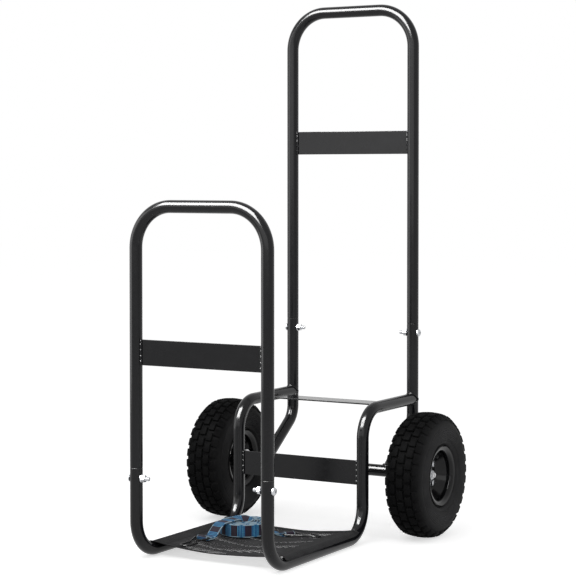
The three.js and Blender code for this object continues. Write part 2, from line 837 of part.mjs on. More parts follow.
// Lines on both sides of every strand, with a wider hem at each end.
function strandLines(start, end, gaps, edge) {
  const gap = (end - start - 2 * edge - (gaps - 1) * strandWidth) / gaps;
  const lines = [start];
  for (let k = 0; k < gaps; k++) {
    const from = start + edge + k * (gap + strandWidth);
    lines.push(from, from + gap);
  }
  return [...lines, end];
}

const clothBack = riserY - clothInset;
const netEdge = clothHalf - bandWidth - clearance;
const evenLines = (from, to, count) =>
  Array.from({ length: count + 1 }, (_, k) => from + ((to - from) * k) / count);
const bandAcrossLines = [
  ...evenLines(clothHalf - bandWidth, leavingX, 2),
  ...evenLines(leavingX, clothHalf, 4).slice(1),
];
const bandDepthLines = [
  clothFront,
  ...railTop.map((top) => top.y).filter((y) => y > clothFront + 1 && y < clothBack - 1),
  clothBack,
].filter((y, i, all) => i === 0 || y - all[i - 1] > 1);
const netAcrossLines = strandLines(-netEdge, netEdge, netColumns, strandWidth);
const netDepthLines = strandLines(clothFront, clothBack, netRows, hemWidth);
const net = thickSheet(
  netAcrossLines,
  netDepthLines,
  netThickness,
  (i, j) => i % 2 === 1 && j % 2 === 1,
);
const band = (hand) =>
  thickSheet(
    bandAcrossLines.map((across) => hand * across).sort((a, b) => a - b),
    bandDepthLines,
    bandThickness,
    () => false,
  );
cart.add(piece("mesh_net", net, netFabric));
cart.add(piece("mesh_left_band", band(-1), bandFabric));
cart.add(piece("mesh_right_band", band(1), bandFabric));

// ---------- Strap ----------

const halfStrap = strapWidth / 2;
const halfStrapThickness = strapThickness / 2;
const wireRadius = wireDiameter / 2;
const rollRadius = (rollDiameter - strapThickness) / 2;
const rollY = clothBack - rollInset;
const TURN_STEPS = 15;
const radians = THREE.MathUtils.degToRad;

// Strap coordinates: u to the right and v to the back of the roll's centre, turned on the cloth.
const onCloth = (u, v, z) =>
  new THREE.Vector3(u, v, z).applyAxisAngle(UP, rollHeading).add(new THREE.Vector3(rollX, rollY, 0));

// The cloth's upper face over a point, on the net's own facets.
function clothTop({ x, y }) {
  if (Math.abs(x) > netEdge - strapThickness) {
    return clothPoint(THREE.MathUtils.clamp(x, -leavingX, leavingX), y).z + bandThickness / 2;
  }
  const cell = (lines, value) => {
    const next = Math.max(1, Math.min(lines.findIndex((line) => line > value), lines.length - 1));
    return [lines[next - 1], lines[next], (value - lines[next - 1]) / (lines[next] - lines[next - 1])];
  };
  const [left, right, u] = cell(netAcrossLines, x);
  const [front, back, v] = cell(netDepthLines, y);
  const near = clothPoint(left, front).z;
  const far = clothPoint(right, back).z;
  const corner = u > v ? clothPoint(right, front).z : clothPoint(left, back).z;
  const [high, low] = [Math.max(u, v), Math.min(u, v)];
  return near + high * (corner - near) + low * (far - corner) + netThickness / 2;
}
const restOn = (points) => Math.max(...points.map(clothTop)) + clearance + clothEase;

// The height at which something lies on the cloth that reaches so far round a point.
function restAround(point, reach) {
  const ring = (share, k) => {
    const angle = (k * Math.PI) / 4;
    return { x: point.x + share * reach * Math.cos(angle), y: point.y + share * reach * Math.sin(angle) };
  };
  return restOn([0, 0.5, 1].flatMap((share) => Array.from({ length: 8 }, (_, k) => ring(share, k))));
}

const outerBar = { u: rollRadius + 30.4, v: -39, heading: radians(-58) };
const innerBar = { u: -rollRadius - 46.4, v: -50, heading: radians(-143) };

const foldLoop = wireRadius + foldEase + halfStrapThickness; // the bar's centre to the strap's

// A hook's place: forward from its bar, and sideways.
const fromBar = ({ u, v, heading }, forward, sideways) =>
  onCloth(
    u + forward * Math.cos(heading) - sideways * Math.sin(heading),
    v + forward * Math.sin(heading) + sideways * Math.cos(heading),
    0,
  );

// The bar stands over the cloth by the lower layer of its fold.
const barHeight = (bar) =>
  restAround(fromBar(bar, -foldLength / 2, 0), foldLength / 2 + foldLoop) + halfStrapThickness + foldLoop;

// The strap's end folded round a hook's bar: stations from the sewn end back to the strap.
function foldedEnd(place) {
  const bar = fromBar(place, 0, 0);
  const out = fromBar(place, 1, 0).sub(bar);
  const across = out.clone().cross(UP);
  bar.z = barHeight(place);
  const at = (forward, lift) => ({
    point: bar.clone().addScaledVector(out, forward).addScaledVector(UP, lift),
    across,
  });
  const loop = foldLoop;
  const fold = [at(-foldLength - loop, foldSpacing - loop), at(-loop * 3, foldSpacing - loop)];
  const arc = Array.from({ length: 6 }, (_, k) => {
    const angle = radians(125 - (k * 215) / 5);
    return at(loop * Math.cos(angle), loop * Math.sin(angle));
  });
  return [...fold, ...arc, at(-foldLength, -loop)];
}

// Stations of the strap from points [u, v, lift above the roll's base, lean from upright].
function leaningRun(points, samples, from, to) {
  const curve = new THREE.CatmullRomCurve3(points.map(([u, v, lift]) => onCloth(u, v, lift)));
  const leans = new THREE.SplineCurve(points.map(([, , , lean], k) => new THREE.Vector2(k, lean)));
  return Array.from({ length: samples + 1 }, (_, k) => {
    const t = from + ((to - from) * k) / samples;
    const point = curve.getPoint(t);
    const along = curve.getTangent(t).setZ(0).normalize();
    const lean = radians(leans.getPoint(t).y);
    const right = along.clone().cross(UP);
    const across = UP.clone().multiplyScalar(Math.cos(lean)).addScaledVector(right, Math.sin(lean));
    return { point, across };
  });
}

function spiralPoint(turn) {
  const angle = radians(30) + 2 * Math.PI * turn;
  const radius = rollRadius - rollPitch * turn;
  return [radius * Math.cos(angle), radius * Math.sin(angle)];
}

const turns = Array.from({ length: Math.round(rollTurns * TURN_STEPS) + 1 }, (_, k) =>
  spiralPoint((k * rollTurns) / Math.round(rollTurns * TURN_STEPS)),
);
const rollBase = restOn(turns.map(([u, v]) => onCloth(u, v, 0)));

function strapStations() {
  const outerEnd = foldedEnd(outerBar);
  const innerEnd = foldedEnd(innerBar).reverse();
  const upright = rollBase + halfStrap;
  const outerJoin = outerEnd.at(-1).point;
  const innerJoin = innerEnd[0].point;
  const local = (point) => {
    const back = point.clone().sub(new THREE.Vector3(rollX, rollY, 0)).applyAxisAngle(UP, -rollHeading);
    return [back.x, back.y, back.z];
  };
  const edgeDown = (u, v, lean) => {
    const drop = halfStrap * Math.cos(radians(lean)) - halfStrapThickness * Math.sin(radians(lean));
    return [u, v, restAround(onCloth(u, v, 0), halfStrap) + drop, lean];
  };
  const outerRun = leaningRun(
    [
      [...local(outerJoin), -90],
      edgeDown(rollRadius + 9.4, -4, -68),
      edgeDown(rollRadius + 3.4, 8, -35),
      [...spiralPoint(0), upright, 0],
      [...spiralPoint(0.08), upright, 0],
    ],
    8,
    0.06,
    0.75,
  );
  const spiral = turns.map(([u, v]) => ({ point: onCloth(u, v, upright), across: UP }));
  const top = rollBase + strapWidth;
  const innerRun = leaningRun(
    [
      [...spiralPoint(rollTurns - 0.08), upright, 0],
      [...spiralPoint(rollTurns), upright, 0],
      [8.7, -10.3, upright + 2, 12],
      [11.3, 2, upright + 6, 30],
      [4.6, 10.4, top - 1, 52],
      [-6, 12.5, top + 2.6, 74],
      [-20, 6, top + 3.4, 90],
      [-38, -6.5, top + 2.6, 90],
      [-55, -18.5, top + 1, 90],
      [-67, -27.5, top - 9, 90],
      [-77, -35, rollBase + 4, 90],
      [...local(innerJoin), 90],
    ],
    27,
    0.12,
    0.985,
  );
  return [...outerEnd, ...outerRun, ...spiral.slice(1), ...innerRun, ...innerEnd];
}

// Rings of the strap's flat section, square to its run.
function strapRings(stations) {
  return stations.map(({ point, across }, i) => {
    const before = stations[Math.max(i - 1, 0)].point;
    const after = stations[Math.min(i + 1, stations.length - 1)].point;
    const through = after.clone().sub(before).cross(across).normalize();
    return [[1, 1], [1, -1], [-1, -1], [-1, 1]].map(([w, t]) =>
      point
        .clone()
        .addScaledVector(across, w * halfStrap)
        .addScaledVector(through, t * halfStrapThickness),
    );
  });
}

// The least gap between parts of the strap that don't follow one another, on points of its faces.
function leastSelfGap(stations, rings) {
  const distances = [0];
  for (let i = 1; i < stations.length; i++) {
    distances.push(distances[i - 1] + stations[i].point.distanceTo(stations[i - 1].point));
  }
  const samples = rings.map((corners) =>
    [0, 0.25, 0.5, 0.75, 1].flatMap((share) => [
      corners[0].clone().lerp(corners[3], share),
      corners[1].clone().lerp(corners[2], share),
    ]),
  );
  let least = Infinity;
  for (let i = 0; i < samples.length; i++) {
    for (let j = i + 1; j < samples.length; j++) {
      if (distances[j] - distances[i] < 3 * strapThickness + wireDiameter) continue;
      for (const a of samples[i]) for (const b of samples[j]) least = Math.min(least, a.distanceTo(b));
    }
  }
  return { least, length: distances.at(-1) };
}

const stations = strapStations();
const rings = strapRings(stations);
const { least, length } = leastSelfGap(stations, rings);
console.log(`strap: ${length.toFixed(0)} mm long, least gap to itself ${least.toFixed(2)} mm`);
cart.add(piece("strap_roll", skin(rings), webbing));

// A wire hook: a triangle through the strap's fold, then a long shank bent back on itself.
// It leans from its bar down to the cloth.
function wireHook(place) {
  const halfBar = halfStrap + 1.5 * wireDiameter;
  const flat = (forward, sideways) => new THREE.Vector3(forward, sideways, 0);
  const bend = wireDiameter;
  const bendCentre = hookLength - hookBendRadius - wireRadius;
  const path = bentPath([
    { at: flat(triangleLength - 6, 1.6 * wireDiameter) },
    { at: flat(0, halfBar), bend },
    { at: flat(0, -halfBar), bend },
    { at: flat(triangleLength, -0.2), bend: 3 * bend },
    { at: flat(bendCentre + hookBendRadius, 1), bend: hookBendRadius },
    { at: flat(bendCentre + hookBendRadius, 1 + 2 * hookBendRadius), bend: hookBendRadius },
    { at: flat(bendCentre - hookTipLength, 1 + 2 * hookBendRadius + 3) },
  ]);
  const bar = fromBar(place, 0, 0).setZ(barHeight(place));
  const falls = [0.4, 0.6, 0.8, 1].map((share) => {
    const spot = fromBar(place, share * bendCentre, hookBendRadius);
    return (bar.z - wireRadius - restAround(spot, hookBendRadius + wireRadius)) / (share * bendCentre);
  });
  const tilt = Math.atan(Math.min(...falls));
  const wire = solidBar(path, wireRadius, UP, 6);
  return wire
    .rotateY(tilt)
    .rotateZ(place.heading + rollHeading)
    .translate(bar.x, bar.y, bar.z);
}

cart.add(piece("strap_outer_hook", wireHook(outerBar), blackWire));
cart.add(piece("strap_inner_hook", wireHook(innerBar), blackWire));

// ---------- Centred over the origin ----------

const rearmost = Math.max(frameDepth + tubeRadius, axleY + wheelDiameter / 2);
cart.position.y = -(rearmost - tubeRadius) / 2;
const logCart = new THREE.Group();
logCart.add(cart);

export default logCart;
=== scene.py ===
import math

import bmesh
import bpy
from mathutils import Matrix, Vector

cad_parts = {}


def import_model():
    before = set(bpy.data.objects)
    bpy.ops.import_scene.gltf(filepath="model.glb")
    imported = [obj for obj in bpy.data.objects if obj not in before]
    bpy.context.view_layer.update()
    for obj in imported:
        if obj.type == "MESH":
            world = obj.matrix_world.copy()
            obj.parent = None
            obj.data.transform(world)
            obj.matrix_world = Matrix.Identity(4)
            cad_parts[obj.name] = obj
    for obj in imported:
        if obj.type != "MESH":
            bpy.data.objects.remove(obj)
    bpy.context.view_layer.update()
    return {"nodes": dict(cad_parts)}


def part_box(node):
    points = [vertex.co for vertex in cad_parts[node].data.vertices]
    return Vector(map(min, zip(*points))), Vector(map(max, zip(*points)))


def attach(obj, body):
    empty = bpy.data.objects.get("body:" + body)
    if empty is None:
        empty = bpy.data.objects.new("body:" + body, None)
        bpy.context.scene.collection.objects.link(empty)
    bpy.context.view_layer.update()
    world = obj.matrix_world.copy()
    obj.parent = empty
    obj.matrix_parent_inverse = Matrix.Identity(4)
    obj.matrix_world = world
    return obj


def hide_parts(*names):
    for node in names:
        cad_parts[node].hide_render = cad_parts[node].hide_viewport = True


# Shapes are drawn in millimetres, in the cart's frame: +X to its right, +Y to its back, +Z up.
# finished() scales them to metres.
MM = 0.001
X, Y, Z = Vector((1, 0, 0)), Vector((0, 1, 0)), Vector((0, 0, 1))

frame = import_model()


def box(node):
    low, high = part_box(node)
    return low / MM, high / MM


# ---------- Sizes taken from the frame ----------

front_low, front_high = box("front_frame")
handle_low, handle_high = box("handle_frame")
rail_high, leg_high, rod_high = (box(name)[1] for name in ("right_base_rail", "right_rear_leg", "axle_rod"))
axle_low, axle_high = box("axle_tube")
tyre_low, tyre_high = box("right_tyre")

TUBE = (front_high.y - front_low.y) / 2
HALF_WIDTH = front_high.x - TUBE
FRONT_Y = front_low.y + TUBE
BACK_Y = handle_low.y + TUBE
DECK_Z = rail_high.z - TUBE
HANDLE_SEAM = leg_high.z
AXLE = (axle_low + axle_high) / 2
WHEEL_X = (tyre_low.x + tyre_high.x) / 2

# ---------- Sizes of the finer forms ----------

WALL = 1.5
SPIGOT, SPIGOT_RADIUS = 45, 10.7
FRONT_SEAM = 180
TOP_BEND, TOE_BEND, STEP_BEND, KNEE_BEND = 80, 65, 60, 45
KNEE_RISE = 86
RISER_Y = BACK_Y - 230
COPE = 1.5  # from where tubes' middles meet to the end of the one that is cut to fit
TUBE_SIDES = 48
BEND_STEP = math.radians(4)
BOLT_DROP = 20
STRAP, STRAP_THICK = 25, 1.8


# ---------- Camera ----------

SENSOR = 36
FOCAL_PX = 1836.26
PHOTO_PX = 576
SHIFT_PX = -61.18
CAMERA_PLACE = (1.88142, -3.23057, 0.74666)
CAMERA_TILT, CAMERA_TURN = math.radians(90 - 1.6), math.radians(30.01)


def camera():
    data = bpy.data.cameras.new("camera")
    data.sensor_width = SENSOR
    data.lens = SENSOR * FOCAL_PX / PHOTO_PX
    data.shift_y = SHIFT_PX / PHOTO_PX
    data.clip_end = 50
    made = bpy.data.objects.new("camera", data)
    made.location = CAMERA_PLACE
    made.rotation_euler = (CAMERA_TILT, 0, CAMERA_TURN)
    bpy.context.scene.collection.objects.link(made)
    bpy.context.scene.camera = made


# ---------- Materials ----------


def node(tree, kind, inputs=None, **settings):
    """A node with its settings; an input is a value, or another node's output."""
    made = tree.nodes.new("ShaderNode" + kind)
    for name, value in settings.items():
        setattr(made, name, value)
    for socket, value in (inputs or {}).items():
        if isinstance(value, bpy.types.NodeSocket):
            tree.links.new(value, made.inputs[socket])
        else:
            made.inputs[socket].default_value = value
    return made


def math_node(tree, operation, *values, clamp=False):
    return node(tree, "Math", dict(enumerate(values)), operation=operation, use_clamp=clamp).outputs[0]


def times(tree, value, by, clamp=False):
    return math_node(tree, "MULTIPLY", value, by, clamp=clamp)


def wave(tree, value, pitch):
    return math_node(tree, "SINE", times(tree, value, 2 * math.pi / pitch))


def grey(level, tint=(1, 1, 1)):
    return (*(level * share for share in tint), 1)


def surface(name, **sockets):
    """A material, its node tree and its shader, with the shader's plain values set."""
    made = bpy.data.materials.new(name)
    made.use_nodes = True
    shader = made.node_tree.nodes["Principled BSDF"]
    for socket, value in sockets.items():
        shader.inputs[socket.replace("_", " ")].default_value = value
    return made, made.node_tree, shader


def place(tree):
    return node(tree, "TexCoord").outputs["Object"]


def noise(tree, vector, scale, detail=2, roughness=0.5):
    inputs = {"Vector": vector, "Scale": scale, "Detail": detail, "Roughness": roughness}
    return node(tree, "TexNoise", inputs).outputs["Fac"]


def ramp(tree, factor, *stops):
    """A colour or grey picked by a factor from stops of (place, colour)."""
    made = node(tree, "ValToRGB", {"Fac": factor})
    elements = made.color_ramp.elements
    while len(elements) < len(stops):
        elements.new(0.5)
    for element, (at, colour) in zip(elements, stops):
        element.position = at
        element.color = colour if isinstance(colour, tuple) else grey(colour)
    return made.outputs["Color"]


def bump(tree, shader, height, strength, distance):
    inputs = {"Height": height, "Strength": strength, "Distance": distance}
    made = node(tree, "Bump", inputs)
    tree.links.new(made.outputs["Normal"], shader.inputs["Normal"])


def link(tree, output, shader, socket):
    tree.links.new(output, shader.inputs[socket])


def shade(tree, shader, socket, factor, *stops):
    """Runs a ramp into one of the shader's sockets."""
    link(tree, ramp(tree, factor, *stops), shader, socket)


# How fine the marks of each finish are, per metre.
DUST, HAND_MARKS, ORANGE_PEEL = 9, 60, 480
SHEET_TONE, SHEET_WAVES, SHEET_MARKS = 16, 60, 80
PLATE_TONE, TOOL_MARKS, PLATE_GRAIN = 220, 400, 1500
LIP_RUBS = 160
RUBBER_MOTTLE, RUBBER_GRAIN = 28, 900
CLOTH_TONE, YARN_WANDER = 30, 900


def powder_coat():
    """Black powder coat with a fine orange peel and a little handling dust."""
    made, tree, shader = surface("powder_coat", Specular_IOR_Level=0.22)
    at = place(tree)
    shade(tree, shader, "Base Color", noise(tree, at, DUST, 3),
          (0.35, (0.0052, 0.0052, 0.0064, 1)), (0.7, (0.0078, 0.0078, 0.0092, 1)))
    shade(tree, shader, "Roughness", noise(tree, at, HAND_MARKS), (0.3, 0.14), (0.7, 0.19))
    bump(tree, shader, noise(tree, at, ORANGE_PEEL, 1), 0.007, 0.0004)
    return made


def gloss_paint():
    """The rims' black stove enamel, with the soft waviness of pressed sheet."""
    made, tree, shader = surface("gloss_paint", Specular_IOR_Level=0.2)
    at = place(tree)
    shade(tree, shader, "Base Color", noise(tree, at, SHEET_TONE),
          (0.3, (0.003, 0.003, 0.0036, 1)), (0.7, (0.005, 0.005, 0.0056, 1)))
    shade(tree, shader, "Roughness", noise(tree, at, SHEET_MARKS), (0.3, 0.12), (0.7, 0.2))
    bump(tree, shader, noise(tree, at, SHEET_WAVES, 1), 0.12, 0.0006)
    return made


def plated(name, colour, low, high):
    """Plated or bare metal with the marks of tumbling and of tools."""
    made, tree, shader = surface(name, Metallic=1.0)
    at = place(tree)
    shade(tree, shader, "Base Color", noise(tree, at, PLATE_TONE, 3),
          (0.3, grey(0.75, colour)), (0.7, grey(1, colour)))
    shade(tree, shader, "Roughness", noise(tree, at, TOOL_MARKS, 3), (0.3, low), (0.7, high))
    bump(tree, shader, noise(tree, at, PLATE_GRAIN), 0.12, 0.0002)
    return made


def worn_edge():
    """Paint rubbed thin on the lip of a tube."""
    made, tree, shader = surface("worn_edge", Specular_IOR_Level=0.3)
    rubbed = noise(tree, place(tree), LIP_RUBS, 3)
    shade(tree, shader, "Base Color", rubbed, (0.35, 0.02), (0.65, 0.10))
    shade(tree, shader, "Roughness", rubbed, (0.35, 0.25), (0.65, 0.45))
    return made


def off_axle(tree, at):
    """How far a spot lies from the axle's line."""
    flat = node(tree, "VectorMath", {0: at, 1: (0, 1, 1)}, operation="MULTIPLY").outputs[0]
    line = (0, AXLE.y * MM, AXLE.z * MM)
    return node(tree, "VectorMath", {0: flat, 1: line}, operation="DISTANCE").outputs["Value"]


# Where the tyre's sidewall ends and its tread begins, in metres from the axle's line.
WALL_END, TREAD_START = 0.096, 0.123


def rubber(name, level, roughness, gloss=0.06, painted_light_and_shade=None):
    """Moulded rubber: dull, faintly mottled, dustier where it is rough.

    With shares for the sidewall and the tread, its grey and gloss follow the distance from the axle: painted
    light makes the sidewall paler beside the rim, and painted shade makes the tread darker and less glossy.
    """
    made, tree, shader = surface(name, Specular_IOR_Level=gloss)
    at = place(tree)
    mottle = noise(tree, at, RUBBER_MOTTLE, 4, 0.6)

    def mottled(share):
        low, high = grey(level * share, (1, 1, 1.04)), grey(level * share * 1.5, (1, 1, 1.02))
        return ramp(tree, mottle, (0.3, low), (0.72, high))

    base = mottled(1)
    # Painted light and shade: the sidewall paler beside the rim, the tread darker and with less gloss, going
    # outwards from the axle.
    if painted_light_and_shade:
        pale, dark = painted_light_and_shade
        outwards = ramp(tree, off_axle(tree, at), (WALL_END, 0.0), (TREAD_START, 1.0))
        base = mixed(tree, outwards, mottled(pale), mottled(dark))
        shade(tree, shader, "Specular IOR Level", outwards, (0.0, gloss), (1.0, gloss * dark * dark))
    link(tree, base, shader, "Base Color")
    shade(tree, shader, "Roughness", mottle, (0.3, roughness), (0.7, roughness + 0.12))
    bump(tree, shader, noise(tree, at, RUBBER_GRAIN, 3), 0.3, 0.0003)
    return made


def woven(name, colour, pitch, roughness):
    """Plain-woven cloth on the piece's own across/along map."""
    made, tree, shader = surface(name, Specular_IOR_Level=0.0, Sheen_Weight=0.1,
                                 Sheen_Roughness=0.5, Roughness=roughness)
    over, under = (wave(tree, axis, pitch) for axis in weave_axes(tree))
    threads = math_node(tree, "MULTIPLY_ADD", times(tree, over, under), 0.5, 0.5)
    cloudy = times(tree, noise(tree, place(tree), CLOTH_TONE, 3), 0.6)
    shade(tree, shader, "Base Color", math_node(tree, "MULTIPLY_ADD", threads, 0.35, cloudy),
          (0.2, grey(0.7, colour)), (0.75, grey(1.45, colour)))
    bump(tree, shader, threads, 0.5, 0.0003)
    return made


def weave_axes(tree):
    parts = node(tree, "SeparateXYZ", {0: node(tree, "UVMap", uv_map="weave").outputs[0]})
    return parts.outputs["X"], parts.outputs["Y"]


def stripe(tree, value, period, width, soft=0.0002):
    """1 inside a stripe `width` wide that comes back every `period`, 0 outside it."""
    phase = math_node(tree, "PINGPONG", value, period / 2)
    rise = math_node(tree, "SUBTRACT", width / 2 + soft, phase)
    return times(tree, rise, 1 / (2 * soft), clamp=True)


def mixed(tree, factor, below, above):
    made = node(tree, "Mix", {"Factor": factor}, data_type="RGBA")
    for name, colour in (("A", below), ("B", above)):
        socket = next(s for s in made.inputs if s.name == name and s.type == "RGBA")
        if isinstance(colour, bpy.types.NodeSocket):
            tree.links.new(colour, socket)
        else:
            socket.default_value = colour
    return next(s for s in made.outputs if s.type == "RGBA")


# The strap's dye: bands across it, with light picks in the blue ones, and pale selvedges.
BAND_PERIOD, DARK_BAND, PALE_DASH = 0.029, 0.0135, 0.022
PICK_PERIOD, PICK_WIDTH = 0.0031, 0.0011
CORD_PITCH, CORD_WIDTH, RIB_PITCH = 0.0021, 0.0009, 0.00155
SELVEDGE = 0.0016
ROYAL, SKY = (0.008, 0.060, 0.22, 1), (0.12, 0.52, 0.80, 1)
MAROON, NAVY = (0.028, 0.013, 0.022, 1), (0.006, 0.02, 0.07, 1)
PALE = (0.45, 0.62, 0.72, 1)


def webbing():
    """Ribbed elastic webbing, dyed in bands, on the strap's own across/along map."""
    made, tree, shader = surface("webbing", Roughness=0.78, Specular_IOR_Level=0.06,
                                 Sheen_Weight=0.15)
    across, along = weave_axes(tree)
    shaky = math_node(tree, "MULTIPLY_ADD", noise(tree, place(tree), YARN_WANDER), 0.0012, along)
    picks = stripe(tree, shaky, PICK_PERIOD, PICK_WIDTH, 0.00025)
    cords = stripe(tree, across, CORD_PITCH, CORD_WIDTH, 0.0003)
    blue = mixed(tree, times(tree, picks, 0.9), ROYAL, SKY)
    blue = mixed(tree, times(tree, cords, 0.35), blue, NAVY)
    dark = mixed(tree, times(tree, cords, 0.5), MAROON, NAVY)
    cloth = mixed(tree, stripe(tree, shaky, BAND_PERIOD, DARK_BAND, 0.0004), blue, dark)
    outside = math_node(tree, "SUBTRACT", math_node(tree, "ABSOLUTE", across), STRAP * MM / 2 - SELVEDGE)
    dashes = times(tree, times(tree, outside, 4000, clamp=True),
                   stripe(tree, along, BAND_PERIOD, PALE_DASH, 0.001))
    link(tree, mixed(tree, times(tree, dashes, 0.8), cloth, PALE), shader, "Base Color")
    relief = math_node(tree, "MULTIPLY_ADD", wave(tree, along, RIB_PITCH), 0.6,
                       wave(tree, across, CORD_PITCH))
    bump(tree, shader, relief, 0.6, 0.0002)
    return made


camera()
POWDER_COAT = powder_coat()
GLOSS_PAINT = gloss_paint()
WORN_EDGE = worn_edge()
ZINC = plated("zinc_plate", (0.52, 0.53, 0.55), 0.22, 0.36)
STEEL = plated("bright_steel", (0.55, 0.55, 0.56), 0.24, 0.4)
BRONZE = plated("bronze", (0.45, 0.28, 0.12), 0.3, 0.45)
# The tyre's rubber carries painted light on the sidewall beside the rim and painted shade on the tread.
TYRE_RUBBER = rubber("tyre_rubber", 0.020, 0.5, gloss=0.033, painted_light_and_shade=(1.1, 0.35))
TUBE_RUBBER = rubber("tube_rubber", 0.014, 0.4)
NET_THREAD = rubber("net_thread", 0.06, 0.8, gloss=0.0)
BAND_CLOTH = woven("band_cloth", (0.027, 0.027, 0.0285), 0.0011, 0.85)
WEBBING = webbing()


# ---------- Making pieces ----------


def drawn(bm, name, finishes):
    """The drawn shape as an object of the scene."""
    mesh = bpy.data.meshes.new(name)
    bm.to_mesh(mesh)
    bm.free()
    for finish in finishes:
        mesh.materials.append(finish)
    made = bpy.data.objects.new(name, mesh)
    bpy.context.scene.collection.objects.link(made)
    return made


def in_order(bm):
    """Sorts corners by place and faces by corners, since spinning leaves them in a chance order."""
    for elements, key in ((bm.verts, lambda v: v.co[:]),
                          (bm.faces, lambda f: sorted(v.index for v in f.verts))):
        ranks = {element: rank for rank, element in enumerate(sorted(elements, key=key))}
        elements.sort(key=ranks.__getitem__)
        elements.index_update()


def finished(bm, name, body, finish, slot, *nodes, smooth=40, tidy=True):
    """The drawn shape as a piece in metres that rides on a body and stands for CAD nodes."""
    if tidy:
        bmesh.ops.remove_doubles(bm, verts=bm.verts, dist=0.002)
        bmesh.ops.recalc_face_normals(bm, faces=bm.faces)
        in_order(bm)
    bmesh.ops.scale(bm, vec=(MM, MM, MM), verts=bm.verts)
    piece = drawn(bm, name, finish if isinstance(finish, list) else [finish])
    piece.data.shade_smooth()
    piece.data.set_sharp_from_angle(angle=math.radians(smooth))
    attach(piece, body)
    if nodes:
        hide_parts(*nodes)
    return piece


def frame_piece(bm, name, *nodes, smooth=30):
    finished(bm, name, "cart", POWDER_COAT, "frame_paint", *nodes, smooth=smooth)


def zinc_piece(bm, name, matrix, node_name):
    bmesh.ops.transform(bm, matrix=matrix, verts=bm.verts)
    finished(bm, name, "cart", ZINC, "zinc_plate", node_name)


def faced(side):
    """Turns a shape drawn for the right-hand side to face its own side."""
    return Matrix.Rotation(0 if side > 0 else math.pi, 4, "Z")


def rotate(bm, angle, axis):
    bmesh.ops.rotate(bm, cent=(0, 0, 0), matrix=Matrix.Rotation(angle, 3, axis), verts=bm.verts)


def reach(node_name):
    """How near to the cart's middle plane a node comes, and how far from it."""
    low, high = box(node_name)
    return sorted((abs(low.x), abs(high.x)))


def verts_of(geometry):
    return [g for g in geometry if isinstance(g, bmesh.types.BMVert)]


def edges_of(verts):
    inside = set(verts)
    return list(dict.fromkeys(e for v in verts for e in v.link_edges if e.other_vert(v) in inside))


def station(point, along, across, size=1.0):
    """Where a ring stands on a path: its z runs along the path and its x across."""
    along = along.normalized()
    side = along.cross(across).normalized()
    turn = Matrix((side.cross(along), side, along)).transposed().to_4x4()
    return Matrix.Translation(point) @ turn @ Matrix.Diagonal((size, size, 1, 1))


def sweep(bm, stations, edges):
    """Draws a ring's edges out through stations, the first being where the ring stands."""
    here = stations[0]
    for there in stations[1:]:
        verts = verts_of(bmesh.ops.extrude_edge_only(bm, edges=edges)["geom"])
        edges = edges_of(verts)
        bmesh.ops.transform(bm, matrix=there @ here.inverted(), verts=verts)
        here = there
    return edges


def bar(bm, stations, radius, sides=TUBE_SIDES):
    """A round bar through stations, closed at both ends."""
    start = bmesh.ops.create_circle(bm, cap_ends=False, segments=sides, radius=radius,
                                    matrix=stations[0])["verts"]
    first = edges_of(start)
    last = sweep(bm, stations, first)
    for rim in (first, last):
        bmesh.ops.contextual_create(bm, geom=rim)


def bent(corners, step=BEND_STEP):
    """Points and headings along straight runs whose corners are (point, bend radius)."""
    path = [(corners[0][0], corners[1][0] - corners[0][0])]
    for (before, _), (corner, radius), (after, _) in zip(corners, corners[1:], corners[2:]):
        come, go = (corner - before).normalized(), (after - corner).normalized()
        turn = come.angle(go)
        axis = come.cross(go).normalized()
        start = corner - come * radius * math.tan(turn / 2)
        centre = start + axis.cross(come) * radius
        steps = max(2, math.ceil(turn / step))
        for k in range(steps + 1):
            turned = Matrix.Rotation(turn * k / steps, 3, axis)
            path.append((centre + turned @ (start - centre), turned @ come))
    path.append((corners[-1][0], corners[-1][0] - corners[-2][0]))
    return path


def stations_of(path, across):
    return [station(point, along, across) for point, along in path]


def spun(bm, outline, steps, closed=True):
    """An outline of (x, radius) points turned about the X axis."""
    verts = [bm.verts.new((x, 0, radius)) for x, radius in outline]
    pairs = list(zip(verts, verts[1:])) + ([(verts[-1], verts[0])] if closed else [])
    edges = [bm.edges.new(pair) for pair in pairs]
    bmesh.ops.spin(bm, geom=verts + edges, cent=(0, 0, 0), axis=(1, 0, 0), angle=2 * math.pi,
                   steps=steps, use_merge=True)


def block(bm, size, matrix, bevel=0.0, segments=2, taper=1.0):
    """A box with rounded edges; `taper` narrows its upper face."""
    verts = bmesh.ops.create_cube(bm, size=1, matrix=Matrix.Diagonal((*size, 1)))["verts"]
    top = [v for v in verts if v.co.z > 0]
    bmesh.ops.scale(bm, vec=(taper, taper, 1), verts=top)
    if bevel:
        edges = edges_of(verts)
        rounded = bmesh.ops.bevel(bm, geom=edges, offset=bevel, affect="EDGES", segments=segments,
                                  profile=0.5, material=-1)
        verts = list({v for f in rounded["faces"] for v in f.verts} | {v for v in verts if v.is_valid})
    bmesh.ops.transform(bm, matrix=matrix, verts=verts)
    return verts


# ---------- Frame ----------


# Tube ends, as (distance from the seam, share of the tube's radius).
SPIGOT_LEVELS = ((-SPIGOT, 0.80), (1 - SPIGOT, SPIGOT_RADIUS / TUBE), (-0.1, SPIGOT_RADIUS / TUBE),
                 (0.35, 0.965), (0.9, 1))
SOCKET_LEVELS = ((SPIGOT + 3, 1 - WALL / TUBE), (0.5, 1 - WALL / TUBE), (0, 0.915), (0.05, 0.965), (0.5, 1))
LIP_DEPTH = 0.45


def in_side(side, y, z):
    """A place among the middles of the cart's left (-1) or right (1) tubes."""
    return Vector((side * HALF_WIDTH, y, z))


